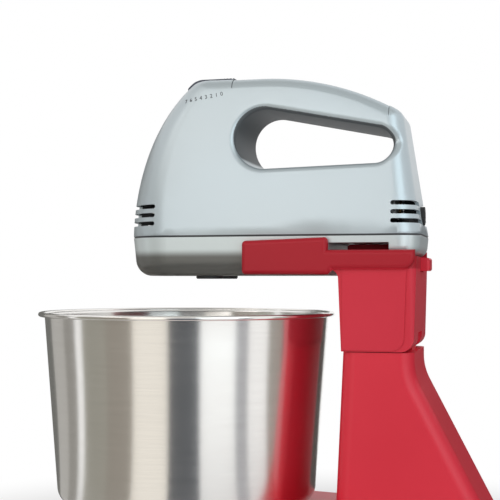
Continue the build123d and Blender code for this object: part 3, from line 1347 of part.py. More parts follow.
with BuildPart() as cord_gland:
    rod((gland_front, MIXER_REAR), 0, gland_z, GLAND_RADIUS)
    rod((gland_front, gland_front + HOUSING_WALL), 0, gland_z, GLAND_RADIUS + HOUSING_WALL / 2)
    rod((gland_front, MIXER_REAR), 0, gland_z, GLAND_BORE, Mode.SUBTRACT)
cord_gland.part.label = "cord_gland"
export_step(cord_gland.part, "parts/cord_gland.step")

# Stator: a stack of laminations with a round bore and four windows for the coils
MOTOR_FACE = Plane((0, 0, AXIS_Z), x_dir=(0, 1, 0), z_dir=(1, 0, 0))
coil_z = (ROTOR_RADIUS + AIR_GAP + STATOR_HEIGHT / 2) / 2 - COIL_RISE
coil_y = STATOR_WIDTH / 2 - COIL_INSET
window_places = [(side * coil_y, level * coil_z) for side in (-1, 1) for level in (-1, 1)]

with BuildPart() as motor_stator:
    with BuildSketch(MOTOR_FACE.offset(stator_ends[0])):
        RectangleRounded(STATOR_WIDTH, STATOR_HEIGHT, STATOR_RIB)
        Circle(ROTOR_RADIUS + AIR_GAP, mode=Mode.SUBTRACT)
        with Locations(*window_places):
            Rectangle(COIL_WIDTH + 2 * LOOSE_FIT, COIL_THICKNESS + 2 * LOOSE_FIT, mode=Mode.SUBTRACT)
    extrude(amount=STACK_LENGTH)
motor_stator.part.label = "motor_stator"
export_step(motor_stator.part, "parts/motor_stator.step")

# Field coils: one flat wound ring through the upper windows and one through the lower
with BuildPart() as field_coils:
    for level in (-1, 1):
        with BuildSketch(Plane.XY.offset(AXIS_Z + level * coil_z - COIL_THICKNESS / 2)) as ring:
            with Locations((MOTOR_MID, 0)):
                RectangleRounded(2 * coil_reach, 2 * coil_y + COIL_WIDTH, COIL_WIDTH * 3 / 4)
                Rectangle(STACK_LENGTH + 2 * AIR_GAP, 2 * coil_y - COIL_WIDTH, mode=Mode.SUBTRACT)
        extrude(ring.sketch, amount=COIL_THICKNESS)
field_coils.part.label = "field_coils"
export_step(field_coils.part, "parts/field_coils.step")


def motor_bracket(bar, legs):
    """Cross bar with a bearing seat, and two legs that reach the stack."""
    half = STATOR_WIDTH / 2
    levels = (AXIS_Z - BRACKET_HALF, AXIS_Z + BRACKET_HALF)
    with BuildPart() as bracket:
        block(bar, (-half, half), levels)
        for side in (-1, 1):
            block(legs, sorted((side * (half - BRACKET_LEG), side * half)), levels)
        rod(bar, 0, AXIS_Z, bearing_radius, Mode.SUBTRACT)
    return bracket.part


front_bar = (bracket_front, bracket_front + BRACKET_THICKNESS)
motor_front_bracket = motor_bracket(front_bar, (bracket_front, stator_ends[0]))
motor_front_bracket.label = "motor_front_bracket"
export_step(motor_front_bracket, "parts/motor_front_bracket.step")

rear_bar = (bracket_rear, bracket_rear + BRACKET_THICKNESS)
motor_rear_bracket = motor_bracket(rear_bar, (stator_ends[1], rear_bar[1]))
motor_rear_bracket.label = "motor_rear_bracket"
export_step(motor_rear_bracket, "parts/motor_rear_bracket.step")

# Brush holders on the rear bracket's legs, and the carbon brushes that bear on the commutator
brush_x = commutator_front + COMMUTATOR_LENGTH / 2
holder_half = BRUSH_SIZE / 2 + HOLDER_WALL + LOOSE_FIT
channel_half = BRUSH_SIZE / 2 + LOOSE_FIT
holder_end = STATOR_WIDTH / 2 - BRACKET_LEG

with BuildPart() as brush_holders:
    for side in (-1, 1):
        reach = sorted((side * HOLDER_START, side * holder_end))
        for half, mode in ((holder_half, Mode.ADD), (channel_half, Mode.SUBTRACT)):
            span = (brush_x - half, brush_x + half)
            block(span, reach, (AXIS_Z - half, AXIS_Z + half), mode)
brush_holders.part.label = "brush_holders"
export_step(brush_holders.part, "parts/brush_holders.step")

with BuildPart() as carbon_brushes:
    for side in (-1, 1):
        half = BRUSH_SIZE / 2
        reach = sorted((side * (COMMUTATOR_RADIUS - OVERRUN), side * (COMMUTATOR_RADIUS + BRUSH_LENGTH)))
        block((brush_x - half, brush_x + half), reach, (AXIS_Z - half, AXIS_Z + half))
    turned = (brush_x - BRUSH_SIZE, brush_x + BRUSH_SIZE)
    rod(turned, 0, AXIS_Z, COMMUTATOR_RADIUS + RUNNING_FIT, Mode.SUBTRACT)
carbon_brushes.part.label = "carbon_brushes"
export_step(carbon_brushes.part, "parts/carbon_brushes.step")

# Rotor: slotted laminations on the shaft, the winding in the slots and its end turns
slot_middle = ROTOR_RADIUS - SLOT_COVER - SLOT_DEPTH / 2

with BuildPart() as rotor_core:
    with BuildSketch(MOTOR_FACE.offset(stator_ends[0])):
        Circle(ROTOR_RADIUS)
        Circle(SHAFT_RADIUS, mode=Mode.SUBTRACT)
        with PolarLocations(slot_middle, ROTOR_SLOTS):
            Rectangle(SLOT_DEPTH, SLOT_WIDTH, mode=Mode.SUBTRACT)
        with PolarLocations(ROTOR_RADIUS, ROTOR_SLOTS):
            Rectangle(4 * SLOT_COVER, SLOT_MOUTH, mode=Mode.SUBTRACT)
    extrude(amount=STACK_LENGTH)
rotor_core.part.label = "rotor_core"
export_step(rotor_core.part, "parts/rotor_core.step")

with BuildPart() as rotor_windings:
    with BuildSketch(MOTOR_FACE.offset(stator_ends[0])):
        with PolarLocations(slot_middle, ROTOR_SLOTS):
            Rectangle(SLOT_DEPTH - 2 * LOOSE_FIT, SLOT_WIDTH - 2 * LOOSE_FIT)
    extrude(amount=STACK_LENGTH)
    for start in (stator_ends[0] - WINDING_OVERHANG, stator_ends[1]):
        with BuildSketch(MOTOR_FACE.offset(start)) as turns:
            Circle(slot_middle + SLOT_DEPTH / 4)
            Circle(SHAFT_RADIUS + LOOSE_FIT, mode=Mode.SUBTRACT)
        extrude(turns.sketch, amount=WINDING_OVERHANG)
rotor_windings.part.label = "rotor_windings"
export_step(rotor_windings.part, "parts/rotor_windings.step")

# Commutator: copper bars round the shaft, parted by shallow grooves
with BuildPart() as commutator:
    with BuildSketch(MOTOR_FACE.offset(commutator_front)):
        Circle(COMMUTATOR_RADIUS)
        Circle(SHAFT_RADIUS, mode=Mode.SUBTRACT)
        with PolarLocations(COMMUTATOR_RADIUS, ROTOR_SLOTS, start_angle=180 / ROTOR_SLOTS):
            Rectangle(2 * OVERRUN, BAR_GROOVE, mode=Mode.SUBTRACT)
    extrude(amount=COMMUTATOR_LENGTH)
commutator.part.label = "commutator"
export_step(commutator.part, "parts/commutator.step")

# Cooling fan: a disc on the shaft with straight radial blades
fan_front = bracket_front - FAN_GAP

with BuildPart() as cooling_fan:
    rod((fan_front, fan_front + FAN_LENGTH), 0, AXIS_Z, FAN_HUB)
    rod((fan_front + FAN_LENGTH - FAN_SHEET, fan_front + FAN_LENGTH), 0, AXIS_Z, FAN_RADIUS)
    blade_reach = FAN_RADIUS - FAN_HUB + OVERRUN
    with BuildSketch(MOTOR_FACE.offset(fan_front)):
        with PolarLocations(FAN_RADIUS - blade_reach / 2 - OVERRUN / 2, FAN_BLADES):
            Rectangle(blade_reach, FAN_SHEET)
    extrude(amount=FAN_LENGTH)
    rod((fan_front, fan_front + FAN_LENGTH), 0, AXIS_Z, SHAFT_RADIUS, Mode.SUBTRACT)
cooling_fan.part.label = "cooling_fan"
export_step(cooling_fan.part, "parts/cooling_fan.step")
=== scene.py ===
# Hand mixer docked in a tilting stand, over a brushed steel bowl.
# Metres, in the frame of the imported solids: +Z up, the mixer's nose and the bowl towards -X.
import bmesh
import bpy
from math import pi, radians, tan
from mathutils import Matrix, Vector
from mathutils.bvhtree import BVHTree


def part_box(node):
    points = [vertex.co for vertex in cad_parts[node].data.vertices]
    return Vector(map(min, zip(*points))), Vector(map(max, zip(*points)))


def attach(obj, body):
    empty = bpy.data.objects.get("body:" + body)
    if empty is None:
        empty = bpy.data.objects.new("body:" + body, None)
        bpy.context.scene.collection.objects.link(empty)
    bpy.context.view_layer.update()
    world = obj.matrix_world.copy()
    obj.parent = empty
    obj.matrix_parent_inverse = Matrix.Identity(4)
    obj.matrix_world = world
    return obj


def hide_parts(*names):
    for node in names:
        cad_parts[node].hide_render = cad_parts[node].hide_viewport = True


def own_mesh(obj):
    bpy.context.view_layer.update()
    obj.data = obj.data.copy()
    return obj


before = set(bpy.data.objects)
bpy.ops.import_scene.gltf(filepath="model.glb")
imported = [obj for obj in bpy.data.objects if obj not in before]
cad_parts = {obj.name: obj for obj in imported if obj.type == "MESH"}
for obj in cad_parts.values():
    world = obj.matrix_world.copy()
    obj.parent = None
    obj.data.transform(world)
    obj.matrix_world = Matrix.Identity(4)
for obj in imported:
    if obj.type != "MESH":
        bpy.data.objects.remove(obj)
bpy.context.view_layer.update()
scene = bpy.context.scene

# Base and column of the stand: deep injection mouldings in red plastic, open below, with a satin
# spark-eroded skin. The plate that closes the base is a plain dark moulding, held by four screws.
RED = (0.80, 0.021, 0.050, 1)
RED_DEEP = (0.71, 0.015, 0.037, 1)
GRAPHITE = (0.032, 0.034, 0.038, 1)
GRAPHITE_DEEP = (0.024, 0.025, 0.028, 1)
SKIN_DETAIL = {"Grain": 3, "Flow": 2}
FLOW_SCALE = 14
GRAIN_ROUGHNESS = 0.06
FLOW_ROUGHNESS = 0.05
GRAIN_STRENGTH = 0.35

moulded_skin = bpy.data.node_groups.new("moulded_skin", "ShaderNodeTree")
moulded_skin.interface.new_socket("Vector", in_out="INPUT", socket_type="NodeSocketVector")
for layer in SKIN_DETAIL:
    moulded_skin.interface.new_socket(layer + " Scale", in_out="INPUT", socket_type="NodeSocketFloat")
    moulded_skin.interface.new_socket(layer, in_out="OUTPUT", socket_type="NodeSocketFloat")
skin_in = moulded_skin.nodes.new("NodeGroupInput")
skin_out = moulded_skin.nodes.new("NodeGroupOutput")
for layer, detail in SKIN_DETAIL.items():
    noise = moulded_skin.nodes.new("ShaderNodeTexNoise")
    noise.inputs["Detail"].default_value = detail
    moulded_skin.links.new(skin_in.outputs["Vector"], noise.inputs["Vector"])
    moulded_skin.links.new(skin_in.outputs[layer + " Scale"], noise.inputs["Scale"])
    moulded_skin.links.new(noise.outputs["Fac"], skin_out.inputs[layer])


def start_finish(name):
    """New material with its tree, its Principled shader and the object's own coordinates."""
    finish = bpy.data.materials.new(name)
    finish.use_nodes = True
    tree = finish.node_tree
    shader = tree.nodes["Principled BSDF"]
    place = tree.nodes.new("ShaderNodeTexCoord").outputs["Object"]
    return finish, tree, shader, place


def feed(tree, socket, value):
    """Links another node's output to a socket, or sets a plain value on it."""
    if isinstance(value, bpy.types.NodeSocket):
        tree.links.new(value, socket)
    else:
        socket.default_value = value


def add_range(tree, value, low, high):
    """Spreads a 0 to 1 value over a range."""
    spread = tree.nodes.new("ShaderNodeMapRange")
    spread.inputs["To Min"].default_value = low
    spread.inputs["To Max"].default_value = high
    tree.links.new(value, spread.inputs["Value"])
    return spread.outputs["Result"]


def add_maths(tree, operation, *values):
    """One maths node on other nodes' outputs or plain numbers."""
    maths = tree.nodes.new("ShaderNodeMath")
    maths.operation = operation
    for socket, value in zip(maths.inputs, values):
        feed(tree, socket, value)
    return maths.outputs["Value"]


def add_mix(tree, value, first, second):
    """Blends two colours, each a colour or another node's output, by a value."""
    blend = tree.nodes.new("ShaderNodeMix")
    blend.data_type = "RGBA"
    tree.links.new(value, blend.inputs["Factor"])
    # The colour sockets share their names with the number and vector ones before them.
    feed(tree, blend.inputs[6], first)
    feed(tree, blend.inputs[7], second)
    return blend.outputs[2]


def add_bump(tree, shader, height, depth, strength):
    """Relief of a depth in metres on the shader's normal."""
    relief = tree.nodes.new("ShaderNodeBump")
    relief.inputs["Distance"].default_value = depth
    relief.inputs["Strength"].default_value = strength
    tree.links.new(height, relief.inputs["Height"])
    tree.links.new(relief.outputs["Normal"], shader.inputs["Normal"])


def add_skin(tree, place, grain_scale, flow_scale):
    """Grain and flow of the moulded skin, each at its own scale."""
    skin = tree.nodes.new("ShaderNodeGroup")
    skin.node_tree = moulded_skin
    skin.inputs["Grain Scale"].default_value = grain_scale
    skin.inputs["Flow Scale"].default_value = flow_scale
    tree.links.new(place, skin.inputs["Vector"])
    return skin.outputs["Grain"], skin.outputs["Flow"]


def moulding(name, colour, deep, rough, grain_scale, depth):
    """Moulded plastic with a fine eroded grain and slow changes of tone from the melt's flow."""
    finish, tree, shader, place = start_finish(name)
    grain, flow = add_skin(tree, place, grain_scale, FLOW_SCALE)
    tree.links.new(add_mix(tree, flow, deep, colour), shader.inputs["Base Color"])
    fine = add_range(tree, grain, -GRAIN_ROUGHNESS, GRAIN_ROUGHNESS)
    slow = add_range(tree, flow, rough - FLOW_ROUGHNESS, rough + FLOW_ROUGHNESS)
    tree.links.new(add_maths(tree, "ADD", fine, slow), shader.inputs["Roughness"])
    add_bump(tree, shader, grain, depth, GRAIN_STRENGTH)
    return finish


def paint(finish, *names):
    """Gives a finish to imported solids."""
    for name in names:
        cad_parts[name].material_slots[0].material = finish


red_moulding = moulding("red_moulding", RED, RED_DEEP, rough=0.40, grain_scale=1500, depth=0.00012)
dark_moulding = moulding(
    "dark_moulding", GRAPHITE, GRAPHITE_DEEP, rough=0.5, grain_scale=1600, depth=0.00012,
)
paint(red_moulding, "base_housing", "column_housing")
paint(dark_moulding, "base_plate")

# Feet: four pressed rubber pads with pegs through the plate.
# The rubber is matt, and a little chalky from the mould release.
RUBBER = (0.035, 0.034, 0.033, 1)
RUBBER_DEEP = (0.018, 0.018, 0.018, 1)
rubber = moulding("foot_rubber", RUBBER, RUBBER_DEEP, rough=0.78, grain_scale=900, depth=0.0002)
paint(rubber, "base_feet")

# Fasteners, pins, shafts and motor brackets: drawn, turned and pressed steel, zinc plated.
# The finish has the faint cloudy blue-grey of a plating bath.
ZINC_BLUE = (0.50, 0.51, 0.53, 1)
ZINC_PALE = (0.62, 0.62, 0.61, 1)
CLOUD_SCALE = 260


def two_tone(tree, shader, mask, dark, pale, dark_rough, pale_rough):
    """Colour and roughness that change together with a mask."""
    tree.links.new(add_mix(tree, mask, dark, pale), shader.inputs["Base Color"])
    tree.links.new(add_range(tree, mask, dark_rough, pale_rough), shader.inputs["Roughness"])


zinc, tree, shader, place = start_finish("zinc_plating")
cloud = tree.nodes.new("ShaderNodeTexNoise")
cloud.inputs["Scale"].default_value = CLOUD_SCALE
tree.links.new(place, cloud.inputs["Vector"])
two_tone(tree, shader, cloud.outputs["Fac"], ZINC_BLUE, ZINC_PALE, dark_rough=0.24, pale_rough=0.42)
shader.inputs["Metallic"].default_value = 1
paint(zinc, "base_screws", "column_screws", "arm_screws", "housing_screws", "gear_screws")
paint(zinc, "hinge_pin", "turntable_axle", "axle_clip")
paint(zinc, "motor_front_bracket", "motor_rear_bracket", "left_spindle", "right_spindle", "worm_shaft")

# Springs: coils of plated wire, one in front of the release latch and one under the eject plate.
# Each stays with the piece that it pushes back.
SMOOTH_TURN = radians(40)
MERGE = 0.000001


def make_piece(name, mesh, finish, smooth=True, sharp=None):
    """Object at the origin from a modelled mesh. Edges that turn by more than sharp stay sharp."""
    if smooth:
        for face in mesh.faces:
            face.smooth = True
    data = bpy.data.meshes.new(name)
    mesh.to_mesh(data)
    mesh.free()
    if sharp is not None:
        data.set_sharp_from_angle(angle=sharp)
    data.materials.append(finish)
    piece = bpy.data.objects.new(name, data)
    scene.collection.objects.link(piece)
    return piece


for body, axis in (("release", Vector((1, 0, 0))), ("eject", Vector((0, 0, 1)))):
    coil_mesh = bmesh.new()
    coil_mesh.from_mesh(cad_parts[body + "_spring"].data)
    bmesh.ops.remove_doubles(coil_mesh, verts=coil_mesh.verts[:], dist=MERGE)
    coil = make_piece(body + "_coil", coil_mesh, zinc, sharp=SMOOTH_TURN)
    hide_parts(body + "_spring")
    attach(coil, body)
    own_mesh(coil)

# Plain bearings: pressed bronze powder with oil in its pores.
# The surface is speckled, with darker pores between the grains.
BRONZE_DARK = (0.26, 0.15, 0.06, 1)
BRONZE_PALE = (0.58, 0.38, 0.17, 1)
PORE_SCALE = 2200
bronze, tree, shader, place = start_finish("oiled_bronze")
pores = tree.nodes.new("ShaderNodeTexVoronoi")
pores.inputs["Scale"].default_value = PORE_SCALE
tree.links.new(place, pores.inputs["Vector"])
speckle = pores.outputs["Distance"]
two_tone(tree, shader, speckle, BRONZE_DARK, BRONZE_PALE, dark_rough=0.62, pale_rough=0.38)
shader.inputs["Metallic"].default_value = 1
paint(bronze, "turntable_bush", "hinge_bushes", "worm_bearings", "motor_bearings", "spindle_bushes")

# Turntable: a red moulded disc in the deck's recess, with a raised hub that the bowl's ring drops over.
# It has the stand's own finish.
paint(red_moulding, "turntable")

# Bowl: one spun sheet of stainless steel, brushed round and round while it turns, so that the lines
# run level. Its lip ends in a rolled bead, and the ring welded under its floor is brushed too.
BEAD = 0.0015
SHEET = 0.0008
LIP = 0.005
LIP_CORNER = LIP / 3
FLOOR_CORNER = 0.010
TAPER = radians(4.4)
LIP_CORNER_STEPS = 6
FLOOR_CORNER_STEPS = 14
WALL_CUTS = 7
BOWL_STEPS = 240
BEAD_STEPS = 16
BOWL_MERGE = 0.00001
STEEL = (0.76, 0.745, 0.72, 1)
STEEL_PALE = (0.97, 0.955, 0.93, 1)
FINE_PITCH = 0.00032
WIDE_PITCH = 0.0042
bowl_low, bowl_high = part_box("bowl")
bowl_x = (bowl_low.x + bowl_high.x) / 2
rim_reach = (bowl_high.x - bowl_low.x) / 2
lip_z = bowl_high.z - BEAD
lip_end = rim_reach - BEAD
floor_z = bowl_low.z + SHEET / 2
wall_top = rim_reach - LIP
wall_foot = wall_top - (bowl_high.z - bowl_low.z) * tan(TAPER)
half_turn = (pi / 2 - TAPER) / 2


def spin_round(mesh, geom, centre, axis, steps, merge):
    """Full turn of a profile about an axis, merged where its ends meet."""
    bmesh.ops.spin(mesh, geom=geom, cent=centre, axis=axis, angle=2 * pi, steps=steps, use_merge=True)
    bmesh.ops.remove_doubles(mesh, verts=mesh.verts[:], dist=merge)


bowl_mesh = bmesh.new()
sheet_line = [(0, floor_z), (wall_foot, floor_z), (wall_top, lip_z), (lip_end, lip_z)]
corners = [bowl_mesh.verts.new((bowl_x + out, 0, up)) for out, up in sheet_line]
for first, second in zip(corners, corners[1:]):
    bowl_mesh.edges.new((first, second))
for corner, radius, steps in (
    (corners[1], FLOOR_CORNER, FLOOR_CORNER_STEPS),
    (corners[2], LIP_CORNER, LIP_CORNER_STEPS),
):
    bmesh.ops.bevel(
        bowl_mesh, geom=[corner], offset=radius * tan(half_turn), offset_type="OFFSET",
        affect="VERTICES", segments=steps, profile=0.5, material=-1,
    )
wall = max(bowl_mesh.edges, key=lambda edge: abs(edge.verts[0].co.z - edge.verts[1].co.z))
bmesh.ops.subdivide_edges(bowl_mesh, edges=[wall], cuts=WALL_CUTS)
sheet_geom = bowl_mesh.verts[:] + bowl_mesh.edges[:]
spin_round(bowl_mesh, sheet_geom, (bowl_x, 0, 0), (0, 0, 1), BOWL_STEPS, BOWL_MERGE)
bmesh.ops.recalc_face_normals(bowl_mesh, faces=bowl_mesh.faces[:])
bmesh.ops.solidify(bowl_mesh, geom=bowl_mesh.faces[:], thickness=SHEET)
bead = bmesh.ops.create_circle(
    bowl_mesh, segments=BEAD_STEPS, radius=BEAD,
    matrix=Matrix.Translation((bowl_x + lip_end, 0, lip_z)) @ Matrix.Rotation(pi / 2, 4, "X"),
)
bead_edges = list({edge for vert in bead["verts"] for edge in vert.link_edges})
spin_round(bowl_mesh, bead["verts"] + bead_edges, (bowl_x, 0, 0), (0, 0, 1), BOWL_STEPS, BOWL_MERGE)


def add_vector(tree, operation, *values):
    """One vector node on other nodes' outputs or plain vectors."""
    vector = tree.nodes.new("ShaderNodeVectorMath")
    vector.operation = operation
    for socket, value in zip(vector.inputs, values):
        feed(tree, socket, value)
    return vector.outputs["Value" if operation in ("LENGTH", "DOT_PRODUCT") else "Vector"]


def add_axes(tree, place):
    """The X, Y and Z of a place, each by itself."""
    split = tree.nodes.new("ShaderNodeSeparateXYZ")
    tree.links.new(place, split.inputs["Vector"])
    return split.outputs


def brush_lines(tree, around, across, length, pitch):
    """Level scratches: long round the bowl and narrow across."""
    rise = tree.nodes.new("ShaderNodeCombineXYZ")
    tree.links.new(add_maths(tree, "MULTIPLY", across, 1 / pitch), rise.inputs["Z"])
    stretched = add_vector(tree, "MULTIPLY", around, (length, length, length))
    scratch = tree.nodes.new("ShaderNodeTexNoise")
    scratch.inputs["Scale"].default_value = 1
    scratch.inputs["Detail"].default_value = 4
    scratch.inputs["Roughness"].default_value = 0.65
    tree.links.new(add_vector(tree, "ADD", stretched, rise.outputs["Vector"]), scratch.inputs["Vector"])
    return scratch.outputs["Fac"]


brushed, tree, shader, place = start_finish("brushed_stainless")
centred = tree.nodes.new("ShaderNodeMapping")
centred.inputs["Location"].default_value = (-bowl_x, 0, 0)
tree.links.new(place, centred.inputs["Vector"])
level = add_vector(tree, "MULTIPLY", centred.outputs["Vector"], (1, 1, 0))
around = add_vector(tree, "NORMALIZE", level)
height = add_axes(tree, centred.outputs["Vector"])["Z"]
across = add_maths(tree, "ADD", height, add_vector(tree, "LENGTH", level))
fine_lines = brush_lines(tree, around, across, length=2.2, pitch=FINE_PITCH)
wide_lines = brush_lines(tree, around, across, length=1.1, pitch=WIDE_PITCH)
tree.links.new(add_mix(tree, fine_lines, STEEL, STEEL_PALE), shader.inputs["Base Color"])
tree.links.new(add_range(tree, wide_lines, 0.17, 0.25), shader.inputs["Roughness"])
shader.inputs["Metallic"].default_value = 1
shader.inputs["Anisotropic"].default_value = 0.75
shader.inputs["Anisotropic Rotation"].default_value = 0.25
add_bump(tree, shader, fine_lines, depth=0.00002, strength=0.25)
bowl_sheet = make_piece("bowl_sheet", bowl_mesh, brushed)
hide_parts("bowl")
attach(bowl_sheet, "bowl")
paint(brushed, "bowl_foot_ring")

# Tilting arm: two red moulded halves screwed together, which carry the cradle. Its rails and cheeks
# have a painted shade, a deeper red than the post. The release button is red too, and its latch plain
# dark plastic.
POST_RED = (0.73, 0.034, 0.062, 1)
POST_RED_DEEP = (0.64, 0.026, 0.048, 1)
RAIL_SHADE_RED = (0.44, 0.010, 0.022, 1)
RAIL_DROP = 0.0217
RAIL_FADE = 0.0012
CHEEK_LENGTH = 0.055
seam_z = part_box("upper_housing")[0].z
post_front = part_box("arm_left_shell")[0].x + CHEEK_LENGTH
rail_bottom = seam_z - RAIL_DROP


def add_step(tree, value, start, end):
    """0 before the start and 1 after the end, smooth between them."""
    ramp = tree.nodes.new("ShaderNodeMapRange")
    ramp.interpolation_type = "SMOOTHSTEP"
    ramp.inputs["From Min"].default_value = start
    ramp.inputs["From Max"].default_value = end
    tree.links.new(value, ramp.inputs["Value"])
    return ramp.outputs["Result"]


cradle_red = moulding("cradle_red", POST_RED, POST_RED_DEEP, rough=0.40, grain_scale=1500, depth=0.00012)
tree = cradle_red.node_tree
shader = tree.nodes["Principled BSDF"]
where = add_axes(tree, tree.nodes["Texture Coordinate"].outputs["Object"])
# Painted shade: above the rails' foot and in front of the post, the red turns deeper.
on_rail = add_step(tree, where["Z"], rail_bottom, rail_bottom + RAIL_FADE)
on_cheek = add_step(tree, where["X"], post_front + 2 * RAIL_FADE, post_front + RAIL_FADE)
cradle_shade = add_maths(tree, "MAXIMUM", on_rail, on_cheek)
post_tone = shader.inputs["Base Color"].links[0].from_socket
tree.links.new(add_mix(tree, cradle_shade, post_tone, RAIL_SHADE_RED), shader.inputs["Base Color"])
shader.inputs["Specular IOR Level"].default_value = 0.28
paint(cradle_red, "arm_left_shell", "arm_right_shell")
paint(red_moulding, "release_button")
paint(dark_moulding, "release_latch")

# Guide ribs: two upright ribs moulded on the cradle's floor, one each side of the latch.
# They close the low gap under the mixer's channel, and its rear foot drops in just behind them.
FLOOR_DROP = 0.0135
ROOF_DROP = 0.0048
LATCH_CATCH = 0.002
RIB_GAP = 0.0005
RIB_LENGTH = 0.0295
RIB_THICKNESS = 0.004
RIB_LEAD = 0.0025
RIB_EDGE = 0.0008
SQUARE_TURN = radians(60)
SHARP_TURN = radians(30)
latch_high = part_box("release_latch")[1]
cradle_floor = seam_z - FLOOR_DROP
rib_top = seam_z - ROOF_DROP - RIB_GAP
rib_height = rib_top - cradle_floor
rib_front = latch_high.x - LATCH_CATCH - RIB_LENGTH
rib_side = latch_high.y + 2 * RIB_GAP + RIB_THICKNESS / 2
rib_mesh = bmesh.new()
for side in (-1, 1):
    middle = Vector((rib_front + RIB_LENGTH / 2, side * rib_side, cradle_floor + rib_height / 2))
    bmesh.ops.create_cube(
        rib_mesh, size=1,
        matrix=Matrix.Translation(middle) @ Matrix.Diagonal((RIB_LENGTH, RIB_THICKNESS, rib_height, 1)),
    )
lead_edges = [
    edge for edge in rib_mesh.edges
    if all(vert.co.x < rib_front + RIB_GAP and vert.co.z > rib_top - RIB_GAP for vert in edge.verts)
]
bmesh.ops.bevel(
    rib_mesh, geom=lead_edges, offset=RIB_LEAD, affect="EDGES", segments=6, profile=0.5, material=-1,
)
round_edges = [
    edge for edge in rib_mesh.edges
    if edge.calc_face_angle(0) > SQUARE_TURN
    and max(vert.co.z for vert in edge.verts) > rib_top - RIB_LEAD
]
bmesh.ops.bevel(
    rib_mesh, geom=round_edges, offset=RIB_EDGE, affect="EDGES", segments=3, profile=0.5, material=-1,
)
# The ribs take the cradle's red, with its painted shade.
cradle_ribs = make_piece("cradle_ribs", rib_mesh, cradle_red, sharp=SHARP_TURN)
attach(cradle_ribs, "arm")

# Mixer housing: a plastic moulding sprayed outside with a satin silver lacquer. Painted light makes
# the lower shell paler, and painted shade darkens it under the shell and inside, on the roof and ends
# of the grip opening. The seam between the shells is dark, and painted shade blackens the vents inside.
SILVER = (0.52, 0.60, 0.645, 1)
SILVER_WARM = (0.50, 0.545, 0.56, 1)
LOWER_LIGHT_SILVER = (0.74, 0.81, 0.82, 1)
UNDERSIDE_SHADE = (0.17, 0.17, 0.16, 1)
INSIDE_SHADE = (0.105, 0.113, 0.119, 1)
VENT_SHADE = (0.012, 0.012, 0.013, 1)
SEAM = (0.09, 0.094, 0.10, 1)
LACQUER_GRAIN = 4200
LACQUER_FLOW = 9
METAL_FLAKES = 0.45
LACQUER_GLOSS = 0.15
SHADE_ROUGHER = 0.2
CAVITY = (0.03, 0.0, 0.242)
INWARD = 0.016
SEAM_WIDTH = 0.0008
FADE_START = 0.0078
FADE_END = 0.0140
VENT_COUNT = 3
VENT_FIRST = 0.0086
VENT_PITCH = 0.0056
VENT_HEIGHT = 0.0028
FRONT_VENT_LENGTH = 0.0225
REAR_VENT_LENGTH = 0.018
FRONT_WEB = 0.007
REAR_WEB = 0.009
CRISP = 0.0001
mixer_low, mixer_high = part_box("upper_housing")
first_vent = seam_z + VENT_FIRST
vents_bottom = first_vent - VENT_PITCH / 2
vents_top = vents_bottom + VENT_COUNT * VENT_PITCH
front_end = mixer_low.x + FRONT_VENT_LENGTH - VENT_HEIGHT / 2
rear_end = mixer_high.x - REAR_VENT_LENGTH + VENT_HEIGHT / 2


def add_both(tree, first, second):
    """Mask of what two masks share."""
    return add_maths(tree, "MULTIPLY", first, second)


silver, tree, shader, place = start_finish("silver_lacquer")
grain, flow = add_skin(tree, place, LACQUER_GRAIN, LACQUER_FLOW)
where = add_axes(tree, place)
# Painted shade: faces that look back at the middle of the cavity are darkened.
normal = tree.nodes.new("ShaderNodeNewGeometry").outputs["Normal"]
outward = add_vector(tree, "DOT_PRODUCT", add_vector(tree, "SUBTRACT", place, CAVITY), normal)
inside_shade = add_step(tree, outward, -INWARD / 3, -INWARD)

# The vents are level slots at an even pitch, round both ends of the housing but for a web.
# Painted shade blackens them inside.
up_vents = add_maths(tree, "SUBTRACT", where["Z"], vents_bottom)
up_pitch = add_maths(tree, "FLOORED_MODULO", up_vents, VENT_PITCH)
off_row = add_maths(tree, "ABSOLUTE", add_maths(tree, "SUBTRACT", up_pitch, VENT_PITCH / 2))
in_row = add_step(tree, off_row, VENT_HEIGHT / 2, VENT_HEIGHT / 2 - CRISP)
over_bottom = add_step(tree, where["Z"], vents_bottom, vents_bottom + CRISP)
under_top = add_step(tree, where["Z"], vents_top, vents_top - CRISP)
in_row = add_both(tree, in_row, add_both(tree, over_bottom, under_top))
aside = add_maths(tree, "ABSOLUTE", where["Y"])
at_front = add_both(
    tree, add_step(tree, where["X"], front_end, front_end - CRISP),
    add_step(tree, aside, FRONT_WEB, FRONT_WEB + CRISP),
)
at_rear = add_both(
    tree, add_step(tree, where["X"], rear_end, rear_end + CRISP),
    add_step(tree, aside, REAR_WEB, REAR_WEB + CRISP),
)
vent_shade = add_both(tree, in_row, add_maths(tree, "MAXIMUM", at_front, at_rear))
# Painted light makes the lower shell paler under the seam's line, and painted shade darkens it further
# down.
off_seam = add_maths(tree, "ABSOLUTE", add_maths(tree, "SUBTRACT", where["Z"], seam_z))
on_seam = add_step(tree, off_seam, SEAM_WIDTH, SEAM_WIDTH / 2)
lower_light = add_step(tree, where["Z"], seam_z, seam_z - SEAM_WIDTH)
underside_shade = add_step(tree, where["Z"], seam_z - FADE_START, seam_z - FADE_END)
lacquer = add_mix(tree, flow, SILVER_WARM, SILVER)
for mask, tone in (
    (lower_light, LOWER_LIGHT_SILVER),
    (underside_shade, UNDERSIDE_SHADE),
    (on_seam, SEAM),
    (inside_shade, INSIDE_SHADE),
    (vent_shade, VENT_SHADE),
):
    lacquer = add_mix(tree, mask, lacquer, tone)
tree.links.new(lacquer, shader.inputs["Base Color"])
